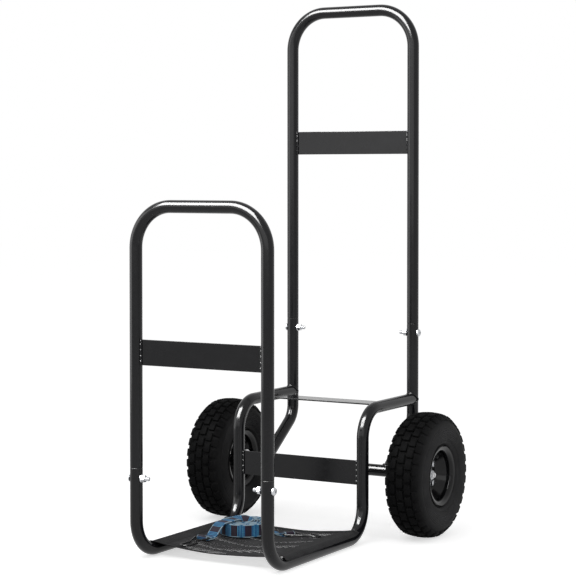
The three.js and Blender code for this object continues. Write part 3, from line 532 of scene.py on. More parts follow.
def u_frame(name, seam, top, y, node_name):
    """An inverted U whose drawn-down ends slide into the tubes below."""
    def end(side, heading):
        return [station(in_side(side, y, seam + rise), heading, Y, size) for rise, size in SPIGOT_LEVELS]

    corners = [(in_side(side, y, z), bend) for side, z, bend in (
        (-1, seam, 0), (-1, top - TUBE, TOP_BEND), (1, top - TUBE, TOP_BEND), (1, seam, 0))]
    bm = bmesh.new()
    bar(bm, end(-1, Z) + stations_of(bent(corners)[1:-1], Y) + end(1, -Z)[::-1], TUBE)
    frame_piece(bm, name, node_name)


def socketed_tube(name, node_name, *corners):
    """A bent tube whose open upper end takes a hoop, its lip worn."""
    top = corners[0][0]
    socket = [station(top - Z * depth, -Z, X, size) for depth, size in SOCKET_LEVELS]
    bm = bmesh.new()
    bar(bm, socket + stations_of(bent(corners)[1:], X), TUBE)
    for face in bm.faces:
        centre = face.calc_center_median() - top
        if centre.z > -LIP_DEPTH and centre.to_2d().length < 1.1 * TUBE:
            face.material_index = 1
    finished(bm, name, "cart", [POWDER_COAT, WORN_EDGE], "frame_paint", node_name, smooth=30)


def base_rail(hand, side):
    """Front stub, toe, ground run, riser and upper rail, bent from one tube."""
    socketed_tube(f"{hand}_rail", f"{hand}_base_rail", *((in_side(side, y, z), bend) for y, z, bend in (
        (FRONT_Y, FRONT_SEAM, 0), (FRONT_Y, TUBE, TOE_BEND), (RISER_Y, TUBE, STEP_BEND),
        (RISER_Y, DECK_Z, STEP_BEND), (BACK_Y - COPE, DECK_Z, 0))))


def knee_and_foot(side):
    """A rear leg's bend, and its foot in the middle of the axle tube."""
    return in_side(side, BACK_Y, AXLE.z + KNEE_RISE), in_side(side, AXLE.y, AXLE.z)


def rear_leg(hand, side):
    knee, foot = knee_and_foot(side)
    foot += (knee - foot).normalized() * COPE
    socketed_tube(f"{hand}_leg", f"{hand}_rear_leg", (in_side(side, BACK_Y, HANDLE_SEAM), 0),
                  (knee, KNEE_BEND), (foot, 0))


WELD, WELD_RIPPLE = 2.7, 1.3
WELD_OFF, WELD_ROUND = 0.25, 1.03  # a joint's bead: how far off the tube, and its width round it
RIPPLE_DEPTH, RIPPLE_DRIFT = 0.18, 0.08
BEAD_END = 0.45


def weld(bm, points, outward, radius=WELD):
    """A rippled bead along close points; outward(i) says which way it faces at each of them."""
    stations = []
    for i, point in enumerate(points):
        along = points[min(i + 1, len(points) - 1)] - points[max(i - 1, 0)]
        ends = BEAD_END if i in (0, len(points) - 1) else 1
        ripple = 1 - RIPPLE_DEPTH * (i % 2) + RIPPLE_DRIFT * math.sin(2.4 * i)
        stations.append(station(point, along, outward(i), ripple * ends))
    bar(bm, stations, radius, sides=12)


def straight(start, end, pitch=WELD_RIPPLE):
    count = max(2, round((end - start).length / pitch))
    return [start.lerp(end, k / count) for k in range(count + 1)]


def cross_plate(node_name, name):
    """A flat bar between two tubes, welded along both of its faces at each end."""
    low, high = box(node_name)
    middle, size = (low + high) / 2, high - low
    bm = bmesh.new()
    block(bm, size, Matrix.Translation(middle), bevel=0.7)
    frame_piece(bm, name, node_name, smooth=20)
    lying = size.z < size.y
    face, run = (Z, Y) if lying else (Y, Z)
    half_run, half_thick = (size.y / 2, size.z / 2) if lying else (size.z / 2, size.y / 2)
    beads = bmesh.new()
    for side in (-1, 1):
        for turned in (-1, 1):
            corner = middle + X * side * (size.x / 2 + 0.1) + face * turned * (half_thick + 0.9)
            points = straight(corner - run * (half_run - 0.5), corner + run * (half_run - 0.5))
            weld(beads, points, lambda i: X)
    frame_piece(beads, name + "_welds", smooth=60)


def saddle(middle, along, across):
    """The line where a tube heading `along` from `middle` meets a like tube lying `across`."""
    perpendicular = along.cross(across)
    count = round(2.2 * math.pi * TUBE / WELD_RIPPLE)
    points, facing = [], []
    for k in range(count + 1):
        angle = 2 * math.pi * k / count
        over, beside = TUBE * math.cos(angle), TUBE * math.sin(angle)
        out = perpendicular * over + across * beside
        away = math.sqrt(max(TUBE ** 2 - over ** 2, 0)) + WELD_OFF
        points.append(middle + along * away + out * WELD_ROUND)
        facing.append(out.normalized())
    return points, facing


def joint_welds():
    """The coped joints: upper rails to rear legs, and rear legs to the axle tube."""
    bm = bmesh.new()
    for side in (-1, 1):
        knee, foot = knee_and_foot(side)
        for middle, along, across in ((in_side(side, BACK_Y, DECK_Z), -Y, Z),
                                      (foot, (knee - foot).normalized(), X)):
            points, facing = saddle(middle, along, across)
            weld(bm, points, facing.__getitem__, radius=WELD * 0.9)
    frame_piece(bm, "tube_joint_welds", smooth=60)


# ---------- Joint bolts ----------

HEAD_RADIUS, HEAD_HEIGHT, HEAD_FLAT, SOCKET = 8, 5, 0.9, 2.6
SHANK, NUT_FLATS, FLANGE = 4, 13, 1.2
THREAD_PITCH, THREAD_DEPTH = 1.25, 0.55


def thread(start, end, radius):
    """The crests and roots of a thread between two places on the X axis, as (x, radius)."""
    turns = round(abs(end - start) / THREAD_PITCH)
    step = (end - start) / turns / 2
    points = []
    for k in range(turns):
        points += [(start + 2 * k * step, radius - THREAD_DEPTH), (start + (2 * k + 1) * step, radius)]
    return points + [(end, radius - THREAD_DEPTH)]


def dome(seat):
    """A button head's outline from its rim to its centre, with a round socket."""
    steps = 8
    points = [(seat, HEAD_RADIUS - 0.3), (seat + 0.3, HEAD_RADIUS), (seat + HEAD_FLAT, HEAD_RADIUS)]
    for k in range(1, steps):
        angle = math.pi / 2 * k / steps
        points.append((seat + HEAD_FLAT + (HEAD_HEIGHT - HEAD_FLAT) * math.sin(angle),
                       SOCKET + (HEAD_RADIUS - SOCKET) * math.cos(angle)))
    top = seat + HEAD_HEIGHT
    return points + [(top, SOCKET + 0.25), (top - 0.25, SOCKET), (top - 2.2, SOCKET), (top - 2.6, 0)]


def hexagon(bm, across_flats, start, end, chamfer=0.7):
    """A six-sided nut between two places on the X axis, its corners eased at both faces."""
    corner = across_flats / math.sqrt(3)
    upright = Matrix.Rotation(math.pi / 2, 4, "Y")
    sizes = [(start, 1 - chamfer / corner), (start + chamfer * 0.6, 1), (end - chamfer * 0.6, 1),
             (end, 1 - chamfer / corner)]
    stations = [Matrix.Translation((x, 0, 0)) @ upright @ Matrix.Diagonal((s, s, 1, 1)) for x, s in sizes]
    bar(bm, stations, corner, sides=6)


def joint_bolt(hand, side, joint, y, z):
    """A button-head bolt through the joint, and the flange nut inside it."""
    tip = reach(f"{hand}_{joint}_bolt")[0] - HALF_WIDTH
    nut_in, nut_out = (x - HALF_WIDTH for x in reach(f"{hand}_{joint}_nut"))
    matrix = Matrix.Translation(in_side(side, y, z)) @ faced(side)
    seat = TUBE + 0.1
    bolt = bmesh.new()
    outline = [(tip + 0.8, 0), (tip, SHANK - 1.6), (tip + 0.7, SHANK - THREAD_DEPTH)]
    outline += thread(tip + 1, nut_in + 1, SHANK) + [(nut_in + 1, SHANK - 0.2), (seat, SHANK - 0.2)]
    spun(bolt, outline + dome(seat), 40, closed=False)
    zinc_piece(bolt, f"{hand}_{joint}_joint_bolt", matrix, f"{hand}_{joint}_bolt")
    nut = bmesh.new()
    hexagon(nut, NUT_FLATS, nut_in, nut_out - FLANGE)
    spun(nut, [(nut_out - 2.2, 4.2), (nut_out - 2.2, 6.6), (nut_out - FLANGE, 7.7), (nut_out - 0.3, 8),
               (nut_out, 7.8), (nut_out, 4.2)], 40)
    zinc_piece(nut, f"{hand}_{joint}_flange_nut", matrix, f"{hand}_{joint}_nut")


# ---------- Axle ----------


AXLE_ROD, AXLE_STUB, AXLE_NUT_FLATS = 8, 6, 19


def axle():
    """The cross tube with its ends rounded in, and the axle rod with its threaded ends."""
    end = axle_high.x
    bore = TUBE - WALL
    half = [(0, TUBE), (end - 0.6, TUBE), (end, TUBE - 0.6), (end, bore + 0.2), (end - 0.3, bore)]
    tube = bmesh.new()
    spun(tube, half[::-1][:-1] + half[:1] + [(-x, r) for x, r in half[1:]], TUBE_SIDES)
    bmesh.ops.translate(tube, vec=AXLE, verts=tube.verts)
    frame_piece(tube, "axle_cross_tube", "axle_tube", smooth=40)

    shoulder = box("right_axle_washer")[0].x - 0.3
    tip = rod_high.x
    half = [(0, AXLE_ROD), (shoulder - 0.6, AXLE_ROD), (shoulder, AXLE_ROD - 0.6),
            (shoulder, AXLE_STUB - THREAD_DEPTH)]
    half += thread(shoulder, tip - 1, AXLE_STUB)[1:]
    half += [(tip, AXLE_STUB - 1.4), (tip, 1.6), (tip - 1.2, 0)]
    rod = bmesh.new()
    spun(rod, [(-x, r) for x, r in half[::-1]] + half[1:], TUBE_SIDES, closed=False)
    bmesh.ops.translate(rod, vec=AXLE, verts=rod.verts)
    finished(rod, "axle_shaft", "cart", STEEL, "steel", "axle_rod")


def axle_end(hand, side):
    """The washer and lock nut outside a wheel, and the finish of its bush."""
    matrix = Matrix.Translation(AXLE) @ faced(side)
    start, stop = reach(f"{hand}_axle_washer")
    radius = box(f"{hand}_axle_washer")[1].z - AXLE.z
    washer = bmesh.new()
    spun(washer, [(start, 6.4), (start, radius - 0.4), (start + 0.4, radius), (stop - 0.5, radius),
                  (stop, radius - 0.5), (stop, 6.8), (stop - 0.3, 6.4)], 48)
    zinc_piece(washer, f"{hand}_axle_plain_washer", matrix, f"{hand}_axle_washer")
    start, stop = reach(f"{hand}_axle_nut")
    nut = bmesh.new()
    hexagon(nut, AXLE_NUT_FLATS, start, stop - 1.6, chamfer=1.2)
    spun(nut, [(stop - 2, 6.2), (stop - 2, 8.4), (stop - 0.6, 8.2), (stop, 7.4), (stop, 6.2)], 40)
    zinc_piece(nut, f"{hand}_axle_lock_nut", matrix, f"{hand}_axle_nut")
    bush = frame["nodes"][f"{hand}_axle_bush"].data
    bush.materials.clear()
    bush.materials.append(BRONZE)


# ---------- Wheels ----------

WHEEL_STEPS = 128
TREAD_PITCHES = 32
TREAD_TOP = 128.7
# Rows of blocks: place across, radius of the top, tilt, width, length, and shift in pitches.
TREAD_ROWS = (
    (0.0, TREAD_TOP, 0, 15.0, 19.5, 0.0),
    (17.2, 127.4, 9, 14.0, 19.5, 0.5),
    (32.2, 121.0, 42, 16.0, 17.5, 0.0),
)
BLOCK_DEPTH = 8.5
# Half outlines, as (across from the wheel's middle, radius).
TYRE_OUTSIDE = ((29.5, 52.5), (30.4, 63.5), (34.4, 65.4), (38.6, 69.5), (41.6, 76), (42.8, 86),
                (42.2, 97), (39.6, 107), (33.5, 116), (24, 121.4), (12, 123.4), (0, 123.8))
TYRE_INSIDE = ((0, 116.8), (14, 116.2), (26, 112), (33, 104), (35.8, 92), (34.2, 76), (26.4, 66),
               (24.6, 52.5))
INNER_TUBE = ((0, 114), (18, 112), (29, 102), (31, 86), (26, 66), (14, 57.5), (0, 57))
RIB_HEIGHT, RIB_START, RIB_END = 0.42, 71, 103
STEM_ROOT, STEM_AXIS = Vector((4, 0, 57)), Vector((1, 0, -1)).normalized()
# The valve stem, as (distance from its root, radius).
STEM = ((0, 5.5), (4, 4.6), (6, 4), (19, 3.9), (20, 3.3), (21, 3.3), (21.2, 4.4), (27.5, 4.4),
        (28.4, 4.1), (29.6, 3.2), (30, 2))
SHEET = 1.8
# The middle of a rim half's sheet, as (across, radius, bend).
RIM_LINE = ((1.1, 20.2, 0), (1.1, 38.5, 6), (22.5, 50.1, 7), (33.8, 50.3, 8.5), (35.6, 60.2, 1.6),
            (36.6, 61.2, 0))
RIM_BOLT_CIRCLE, RIM_BOLTS = 56.5, 4


def on_curve(points, t):
    """The place at t, 0 to 1, on a smooth curve through points."""
    count = len(points) - 1
    i = min(int(count * t), count - 1)
    w = count * t - i
    p1, p2 = points[i], points[i + 1]
    p0 = points[i - 1] if i > 0 else 2 * p1 - p2
    p3 = points[i + 2] if i + 2 <= count else 2 * p2 - p1
    d0, d1, d2 = (math.sqrt(max((b - a).length, 1e-6)) for a, b in ((p0, p1), (p1, p2), (p2, p3)))
    m1 = ((p1 - p0) / d0 - (p2 - p0) / (d0 + d1) + (p2 - p1) / d1) * d1
    m2 = ((p2 - p1) / d1 - (p3 - p1) / (d1 + d2) + (p3 - p2) / d2) * d1
    return p1 + m1 * w + (3 * (p2 - p1) - 2 * m1 - m2) * w ** 2 + (2 * (p1 - p2) + m1 + m2) * w ** 3


def smooth_line(points, count):
    points = [Vector((*point, 0)) for point in points]
    return [on_curve(points, k / count) for k in range(count + 1)]


def both_sides(half):
    """An outline mirrored in the wheel's middle plane, from +X round to -X."""
    return half + [(-x, r) for x, r in half[::-1] if abs(x) > 0.01]


def wheel_piece(bm, name, hand, finish, slot, *nodes, smooth=40):
    side = 1 if hand == "right" else -1
    matrix = Matrix.Translation((side * WHEEL_X, AXLE.y, AXLE.z)) @ faced(side)
    bmesh.ops.transform(bm, matrix=matrix, verts=bm.verts)
    finished(bm, f"{hand}_{name}", f"{hand}_wheel", finish, slot, *nodes, smooth=smooth)


def tread_row(bm, x, top, tilt, width, length, shift):
    """One row of blocks round the tyre."""
    shape = (Matrix.Translation((x, 0, top)) @ Matrix.Rotation(math.radians(tilt), 4, "Y")
             @ Matrix.Translation((0, 0, -BLOCK_DEPTH / 2)))
    pattern = bmesh.new()
    block(pattern, (width, length, BLOCK_DEPTH), shape, bevel=0.9, taper=0.9)
    stamp = bpy.data.meshes.new("tread_block")
    pattern.to_mesh(stamp)
    pattern.free()
    for k in range(TREAD_PITCHES):
        kept = len(bm.verts)
        bm.from_mesh(stamp)
        bm.verts.ensure_lookup_table()
        turned = Matrix.Rotation(2 * math.pi * (k + shift) / TREAD_PITCHES, 4, "X")
        bmesh.ops.transform(bm, matrix=turned, verts=bm.verts[kept:])
    bpy.data.meshes.remove(stamp)


def tyre(hand):
    """The carcass with its sidewall ribs, and five staggered rows of tread blocks."""
    side = smooth_line(TYRE_OUTSIDE, 120)
    outer = []
    for k, point in enumerate(side):
        before, after = side[max(k - 1, 0)], side[min(k + 1, len(side) - 1)]
        away = (after - before).cross(Z).normalized()
        ribbed = RIB_START < point.y < RIB_END and point.x > 30
        raised = point + away * (RIB_HEIGHT * (1 if k % 4 < 2 else -1) if ribbed else 0)
        outer.append((raised.x, raised.y))
    inner = [(p.x, p.y) for p in smooth_line(TYRE_INSIDE, 20)]
    bm = bmesh.new()
    for x, top, tilt, *rest in TREAD_ROWS:
        for way in ((1,) if x == 0 else (1, -1)):
            tread_row(bm, way * x, top, way * tilt, *rest)
    spun(bm, both_sides(outer) + [(-x, r) for x, r in inner[::-1]] + inner[1:], WHEEL_STEPS)
    wheel_piece(bm, "treaded_tyre", hand, TYRE_RUBBER, "tyre", f"{hand}_tyre", smooth=35)


def inner_tube(hand):
    """The tube inside the tyre, and its valve stem that comes out through the bowl."""
    bm = bmesh.new()
    spun(bm, both_sides([(p.x, p.y) for p in smooth_line(INNER_TUBE, 24)])[:-1], 64)
    bar(bm, [station(STEM_ROOT + STEM_AXIS * d, STEM_AXIS, Y, r) for d, r in STEM], 1, sides=24)
    wheel_piece(bm, "tube_and_valve", hand, TUBE_RUBBER, "tube_rubber", f"{hand}_inner_tube")


def rim_half(hand, half):
    """One half of the split rim: bolting face, bowl, bead seat and rolled lip."""
    path = bent([(Vector((x, 0, r)), bend) for x, r, bend in RIM_LINE], math.radians(12))
    offsets = [(point, along.normalized().cross(Y) * SHEET / 2) for point, along in path]
    sheet = [point + out for point, out in offsets] + [point - out for point, out in offsets[::-1]]
    bm = bmesh.new()
    spun(bm, [(p.x, p.z) for p in sheet], WHEEL_STEPS)
    if half == "inner":
        rotate(bm, math.pi, "Z")
    wheel_piece(bm, f"{half}_rim_half", hand, GLOSS_PAINT, "rim_paint", f"{hand}_{half}_rim")


def hub_and_bearings(hand):
    """The hub's shell between the rim halves, and a flanged ball bearing in each end."""
    low, high = box("right_hub")
    start, end = low.x - WHEEL_X, high.x - WHEEL_X
    radius = high.z - AXLE.z
    hub = bmesh.new()
    spun(hub, [(start, radius - 2), (start, radius - 0.5), (start + 0.5, radius), (end - 0.5, radius),
               (end, radius - 0.5), (end, radius - 2)], 96)
    wheel_piece(hub, "hub_shell", hand, GLOSS_PAINT, "rim_paint", f"{hand}_hub")
    for name, seat, way in (("outer", end, 1), ("inner", start, -1)):
        bm = bmesh.new()
        back, lip, face = seat - way * 10, seat + way * 0.3, seat + way * 1.8
        dust_seal = face - way * 0.8
        spun(bm, [(back, 9), (back, radius - 2.4), (lip, radius - 2.4), (lip, radius + 1),
                  (face - way * 0.3, radius + 1), (face, radius + 0.6), (face, 17), (dust_seal, 16.4),
                  (dust_seal, 11.6), (face, 11), (face, 9.2), (face - way * 0.2, 9)], 96)
        wheel_piece(bm, f"{name}_ball_bearing", hand, STEEL, "steel", f"{hand}_{name}_bearing")


def rim_bolts(hand):
    """Hexagon bolts through both rim halves, with washers under their heads and nuts."""
    for k in range(RIM_BOLTS):
        bm = bmesh.new()
        hexagon(bm, NUT_FLATS, 3.6, 7.8)
        hexagon(bm, NUT_FLATS, -7.4, -3.6)
        for way in (-1, 1):
            washer = ((2.15, 4.2), (2.15, 7.6), (3.4, 7.6), (3.6, 7.2), (3.6, 4.2))
            spun(bm, [(way * x, r) for x, r in washer], 32)
        spun(bm, [(-7.8, 0), (-7.8, 3.2), (-7.3, 3.7), (4, 3.7), (4, 0)], 32, closed=False)
        rotate(bm, 0.35 + 0.8 * k, "X")
        bmesh.ops.translate(bm, vec=(0, 0, RIM_BOLT_CIRCLE / 2), verts=bm.verts)
        rotate(bm, 2 * math.pi * (k + 0.5) / RIM_BOLTS, "X")
        wheel_piece(bm, f"rim_hex_bolt_{k + 1}", hand, ZINC, "zinc_plate", f"{hand}_rim_bolt_{k + 1}")


# ---------- Mesh cloth ----------

CLOTH_HALF, BAND, HEM = 162.5, 44, 10
CLOTH_FRONT, CLOTH_BACK = FRONT_Y + 52, RISER_Y - 45
CLOTH_LENGTH = CLOTH_BACK - CLOTH_FRONT
NET_HALF, NET_LENGTH = CLOTH_HALF - BAND, CLOTH_LENGTH - 2 * HEM
EAR = 7  # how far a band's corners run out past its ends
# Where the cloth leaves the top of a rail, and the radius of its middle surface on the rail.
LEAVING, CLOTH_RADIUS = math.radians(8), 14.541
LEAVING_X = HALF_WIDTH - CLOTH_RADIUS * math.sin(LEAVING)
LEAVING_Z = TUBE + CLOTH_RADIUS * math.cos(LEAVING)
CREASE, CREASE_PITCH, CREASE_DRIFT = 1.2, 62, 0.9
PUCKER, PUCKER_PITCH = 0.25, 11
NET_PITCH, NET_THREAD_WIDTH, NET_THICK = 2.9, 1.5, 0.45
BAND_THICK, HEM_THICK, HEM_ROLL = 1.1, 1.0, 0.33
# Soft folds that hang below the rest of the net: where they start and end, their depth and width.
FOLDS = (
    ((-110, -60), (40, -95), 4.8, 5.4), ((40, -95), (115, -70), 4.0, 5.4),
    ((-112, 10), (-20, -28), 4.4, 4.8), ((-20, -28), (112, 6), 5.2, 6.0),
    ((-112, -180), (-30, -205), 4.4, 4.8), ((-30, -205), (60, -190), 5.2, 5.4),
    ((60, -190), (112, -215), 4.0, 4.8), ((10, -150), (112, -128), 4.8, 5.4),
    ((-112, -118), (10, -150), 4.4, 4.8), ((70, -40), (112, -36), 3.2, 4.2),
    ((-112, -228), (10, -238), 3.6, 4.8),
)
FOLDS_END = 118  # from the cart's middle


def bend_rise(y):
    """How far the bends at the ends of the ground run lift the rails' top line."""
    def lift(into, bend):
        """Rise of the top line `into` a bend of the tube's middle line."""
        inner = bend - TUBE
        return 0 if into <= 0 else inner - math.sqrt(max(inner ** 2 - into ** 2, 0))

    return lift(FRONT_Y + TOE_BEND - y, TOE_BEND) + lift(y - (RISER_Y - STEP_BEND), STEP_BEND)


def cloth_point(across, y, lift=0.0):
    """The cloth's middle surface, `across` being measured along it from the cart's middle."""
    distance, hand = abs(across), math.copysign(1, across)
    if distance < LEAVING_X:
        fade = 1 - (distance / LEAVING_X) ** 2
        drift = CREASE_DRIFT * math.sin(2 * math.pi * across / (1.4 * HALF_WIDTH))
        crease = CREASE * fade * math.sin(2 * math.pi * (y - FRONT_Y) / CREASE_PITCH + drift)
        sag = math.tan(LEAVING) / (2 * LEAVING_X) * (LEAVING_X ** 2 - across ** 2)
        return Vector((across, y, LEAVING_Z - sag + crease + bend_rise(y) - folds(across, y) + lift))
    angle = (distance - LEAVING_X) / CLOTH_RADIUS - LEAVING
    radius = CLOTH_RADIUS + lift
    return Vector((hand * (HALF_WIDTH + radius * math.sin(angle)), y,
                   TUBE + radius * math.cos(angle) + bend_rise(y)))


def folds(across, y):
    depth = 0
    for (x0, y0), (x1, y1), deep, wide in FOLDS:
        run = Vector((x1 - x0, y1 - y0))
        t = min(max(((across - x0) * run.x + (y - y0) * run.y) / run.length_squared, 0), 1)
        off = math.hypot(across - x0 - run.x * t, y - y0 - run.y * t)
        depth = max(depth, deep * math.exp(-((off / wide) ** 2)))
    return depth * max(0, 1 - (abs(across) / FOLDS_END) ** 8)


def sheet_grid(width, length, columns, rows):
    """A flat grid in the XY plane whose corner stands at the origin."""
    bm = bmesh.new()
    bmesh.ops.create_grid(bm, x_segments=columns, y_segments=rows, size=0.5,
                          matrix=Matrix.Diagonal((width, length, 1, 1)) @ Matrix.Translation((0.5, 0.5, 0)))
    return bm


def map_weave(bm, middle=0):
    """Keeps each corner's flat place, in metres, as the map that the weave follows."""
    layer = bm.loops.layers.uv.new("weave")
    for face in bm.faces:
        for loop in face.loops:
            loop[layer].uv = ((loop.vert.co.x - middle) * MM, loop.vert.co.y * MM)


def cloth_piece(bm, name, finish, slot, thickness, *nodes):
    piece = finished(bm, name, "cart", finish, slot, *nodes, smooth=180, tidy=False)
    solid = piece.modifiers.new("thickness", "SOLIDIFY")
    solid.thickness = thickness * MM
    solid.offset = 0
    return piece


def net():
    """The mesh between the bands, as threads round real gaps."""
    columns, rows = round(2 * NET_HALF / NET_PITCH), round(NET_LENGTH / NET_PITCH)
    bm = sheet_grid(2 * NET_HALF, NET_LENGTH, columns, rows)
    gaps = list(bm.faces)
    bmesh.ops.inset_individual(bm, faces=gaps, thickness=NET_THREAD_WIDTH / 2, use_even_offset=True)
    bmesh.ops.delete(bm, geom=gaps, context="FACES")
    for vert in bm.verts:
        vert.co = cloth_point(vert.co.x - NET_HALF, vert.co.y + CLOTH_FRONT + HEM)
    return cloth_piece(bm, "cloth_net", NET_THREAD, "net", NET_THICK, "mesh_net")


def band(hand, side):
    """A solid side band, wrapped over the rail and puckered by its stitching."""
    bm = sheet_grid(BAND, CLOTH_LENGTH, 44, 120)
    map_weave(bm)
    for vert in bm.verts:
        across, y = vert.co.x, vert.co.y
        y += EAR * (across / BAND) ** 4 * (2 * y / CLOTH_LENGTH - 1) ** 7
        waves = math.sin(2 * math.pi * y / PUCKER_PITCH + across / 9)
        pucker = PUCKER * waves * min(across, BAND - across) / BAND
        vert.co = cloth_point(side * (NET_HALF + across), y + CLOTH_FRONT, lift=pucker)
    if side < 0:
        bmesh.ops.reverse_faces(bm, faces=bm.faces)
    return cloth_piece(bm, f"cloth_{hand}_band", BAND_CLOTH, "band", BAND_THICK, f"mesh_{hand}_band")


def hem(name, start):
    """A turned hem across one end of the net, rounded by its fold."""
    half = NET_HALF + 1.5
    bm = sheet_grid(2 * half, HEM, 118, 8)
    map_weave(bm)
    for vert in bm.verts:
        across, y = vert.co.x - half, vert.co.y
        vert.co = cloth_point(across, start + y, lift=HEM_ROLL * math.sin(math.pi * y / HEM))
    return cloth_piece(bm, name, BAND_CLOTH, "band", HEM_THICK)


# ---------- Strap ----------

ROLL = Vector((-48, RISER_Y - 140, 0))
ROLL_HEADING = math.radians(45)
ROLL_RADIUS, ROLL_PITCH, ROLL_TURNS = 51.6, 6.5, 5.6
ROLL_BASE = 22.2
UPRIGHT, ROLL_TOP = ROLL_BASE + STRAP / 2, ROLL_BASE + STRAP
WIRE = 2
FOLD_LENGTH, FOLD_SPACING, FOLD_LOOP = 22, 2.6, 3.7
# A hook's bar: right and back of the roll's centre, its height, and the way the hook heads.
OUTER_BAR = (ROLL_RADIUS + 30.4, -39, 23.47, math.radians(-58))
INNER_BAR = (-ROLL_RADIUS - 46.4, -50, 27.0, math.radians(-143))
OUTER_TILT, INNER_TILT = -0.0366, 0.0435
HOOK_LENGTH, TRIANGLE, HOOK_BEND, HOOK_TIP = 74, 38, 9, 22
STITCH, STITCH_WIRE = 2.6, 0.34


def on_cloth(u, v, z):
    """Strap places: u to the right and v to the back of the roll, turned on the cloth."""
    return Matrix.Rotation(ROLL_HEADING, 3, "Z") @ Vector((u, v, z)) + ROLL


def spiral_place(turn):
    angle, radius = math.radians(30) + 2 * math.pi * turn, ROLL_RADIUS - ROLL_PITCH * turn
    return radius * math.cos(angle), radius * math.sin(angle)


def bar_frame(u, v, z, heading):
    """A hook bar's place, the way its hook heads, and the way the bar runs."""
    out = on_cloth(math.cos(heading), math.sin(heading), 0) - ROLL
    return on_cloth(u, v, z), out, out.cross(Z)


def folded_end(bar_place):
    """Places and crosswise directions from the sewn end, round the hook's bar, and back."""
    centre, out, across = bar_frame(*bar_place)
    layer = FOLD_SPACING - FOLD_LOOP
    fold = [(-FOLD_LENGTH - FOLD_LOOP, layer), (-FOLD_LENGTH / 2, layer), (-3 * FOLD_LOOP, layer)]
    turns = [math.radians(125 - 215 * k / 12) for k in range(13)]
    fold += [(FOLD_LOOP * math.cos(a), FOLD_LOOP * math.sin(a)) for a in turns]
    fold += [(-FOLD_LENGTH / 2, -FOLD_LOOP), (-FOLD_LENGTH, -FOLD_LOOP)]
    return [(centre + out * forward + Z * lift, across) for forward, lift in fold]


def leaning_run(points, samples, start, end):
    """Places along points of (u, v, height, lean in degrees from upright)."""
    line = [on_cloth(u, v, z) for u, v, z, _ in points]
    leans = [point[3] for point in points]
    run = []
    for k in range(samples + 1):
        t = start + (end - start) * k / samples
        along = on_curve(line, min(t + 0.004, 1)) - on_curve(line, max(t - 0.004, 0))
        along.z = 0
        i = min(int(t * (len(leans) - 1)), len(leans) - 2)
        w = t * (len(leans) - 1) - i
        w = w * w * (3 - 2 * w) * 0.5 + w * 0.5
        lean = math.radians(leans[i] * (1 - w) + leans[i + 1] * w)
        right = along.normalized().cross(Z)
        run.append((on_curve(line, t), Z * math.cos(lean) + right * math.sin(lean)))
    return run


def strap_route():
    """The whole strap's places and crosswise directions, from its outer end to its inner one."""
    outer_run = leaning_run([
        (70.3, -20.3, 19.8, -90), (61, -4, 23.0, -68), (55, 8, 28.6, -35),
        (*spiral_place(0), UPRIGHT, 0), (*spiral_place(0.08), UPRIGHT, 0),
    ], 14, 0.06, 0.75)
    steps = round(ROLL_TURNS * 40)
    spiral = [(on_cloth(*spiral_place(ROLL_TURNS * k / steps), UPRIGHT), Z) for k in range(1, steps + 1)]
    inner_run = leaning_run([
        (*spiral_place(ROLL_TURNS - 0.08), UPRIGHT, 0), (*spiral_place(ROLL_TURNS), UPRIGHT, 0),
        (8.7, -10.3, UPRIGHT + 2, 12), (11.3, 2, UPRIGHT + 6, 30), (4.6, 10.4, ROLL_TOP - 1, 52),
        (-6, 12.5, ROLL_TOP + 2.6, 74), (-20, 6, ROLL_TOP + 3.4, 90), (-38, -6.5, ROLL_TOP + 2.6, 90),
        (-55, -18.5, ROLL_TOP + 1, 90), (-67, -27.5, ROLL_TOP - 9, 90), (-77, -35, ROLL_BASE + 4, 90),
        (-80.4, -36.8, 23.3, 90),
    ], 60, 0.12, 0.985)
    return folded_end(OUTER_BAR) + outer_run + spiral + inner_run + folded_end(INNER_BAR)[::-1]


def even_route(route, spacing):
    """The route again at even steps, and its length."""
    distances = [0]
    for (a, _), (b, _) in zip(route, route[1:]):
        distances.append(distances[-1] + (b - a).length)
    total = distances[-1]
    count = round(total / spacing)
    even, i = [], 0
    for k in range(count + 1):
        want = total * k / count
        while i < len(distances) - 2 and distances[i + 1] < want:
            i += 1
        w = (want - distances[i]) / max(distances[i + 1] - distances[i], 1e-9)
        (a, cross_a), (b, cross_b) = route[i], route[i + 1]
        even.append((a.lerp(b, w), cross_a.normalized().lerp(cross_b.normalized(), w).normalized()))
    return even, total


def strap():
    """The rolled elastic strap: a ribbed ribbon laid on its route."""
    even, total = even_route(strap_route(), 1.2)
    bm = sheet_grid(STRAP, total, 10, len(even) - 1)
    map_weave(bm, STRAP / 2)
    last = len(even) - 1
    for vert in bm.verts:
        k = min(last, round(vert.co.y / total * last))
        point, across = even[k]
        ahead = even[min(k + 1, last)][0] - even[max(k - 1, 0)][0]
        through = ahead.cross(across).normalized()
        side = vert.co.x - STRAP / 2
        dish = 0.18 * math.cos(math.pi * side / STRAP) + 0.07 * (-1) ** k
        vert.co = point + across * side + through * dish
    piece = cloth_piece(bm, "strap_webbing", WEBBING, "webbing", STRAP_THICK, "strap_roll")
    bevel = piece.modifiers.new("soft_edges", "BEVEL")
    bevel.width = 0.5 * MM
    bevel.segments = 2
    bevel.limit_method = "ANGLE"
    bevel.angle_limit = math.radians(60)
    return piece


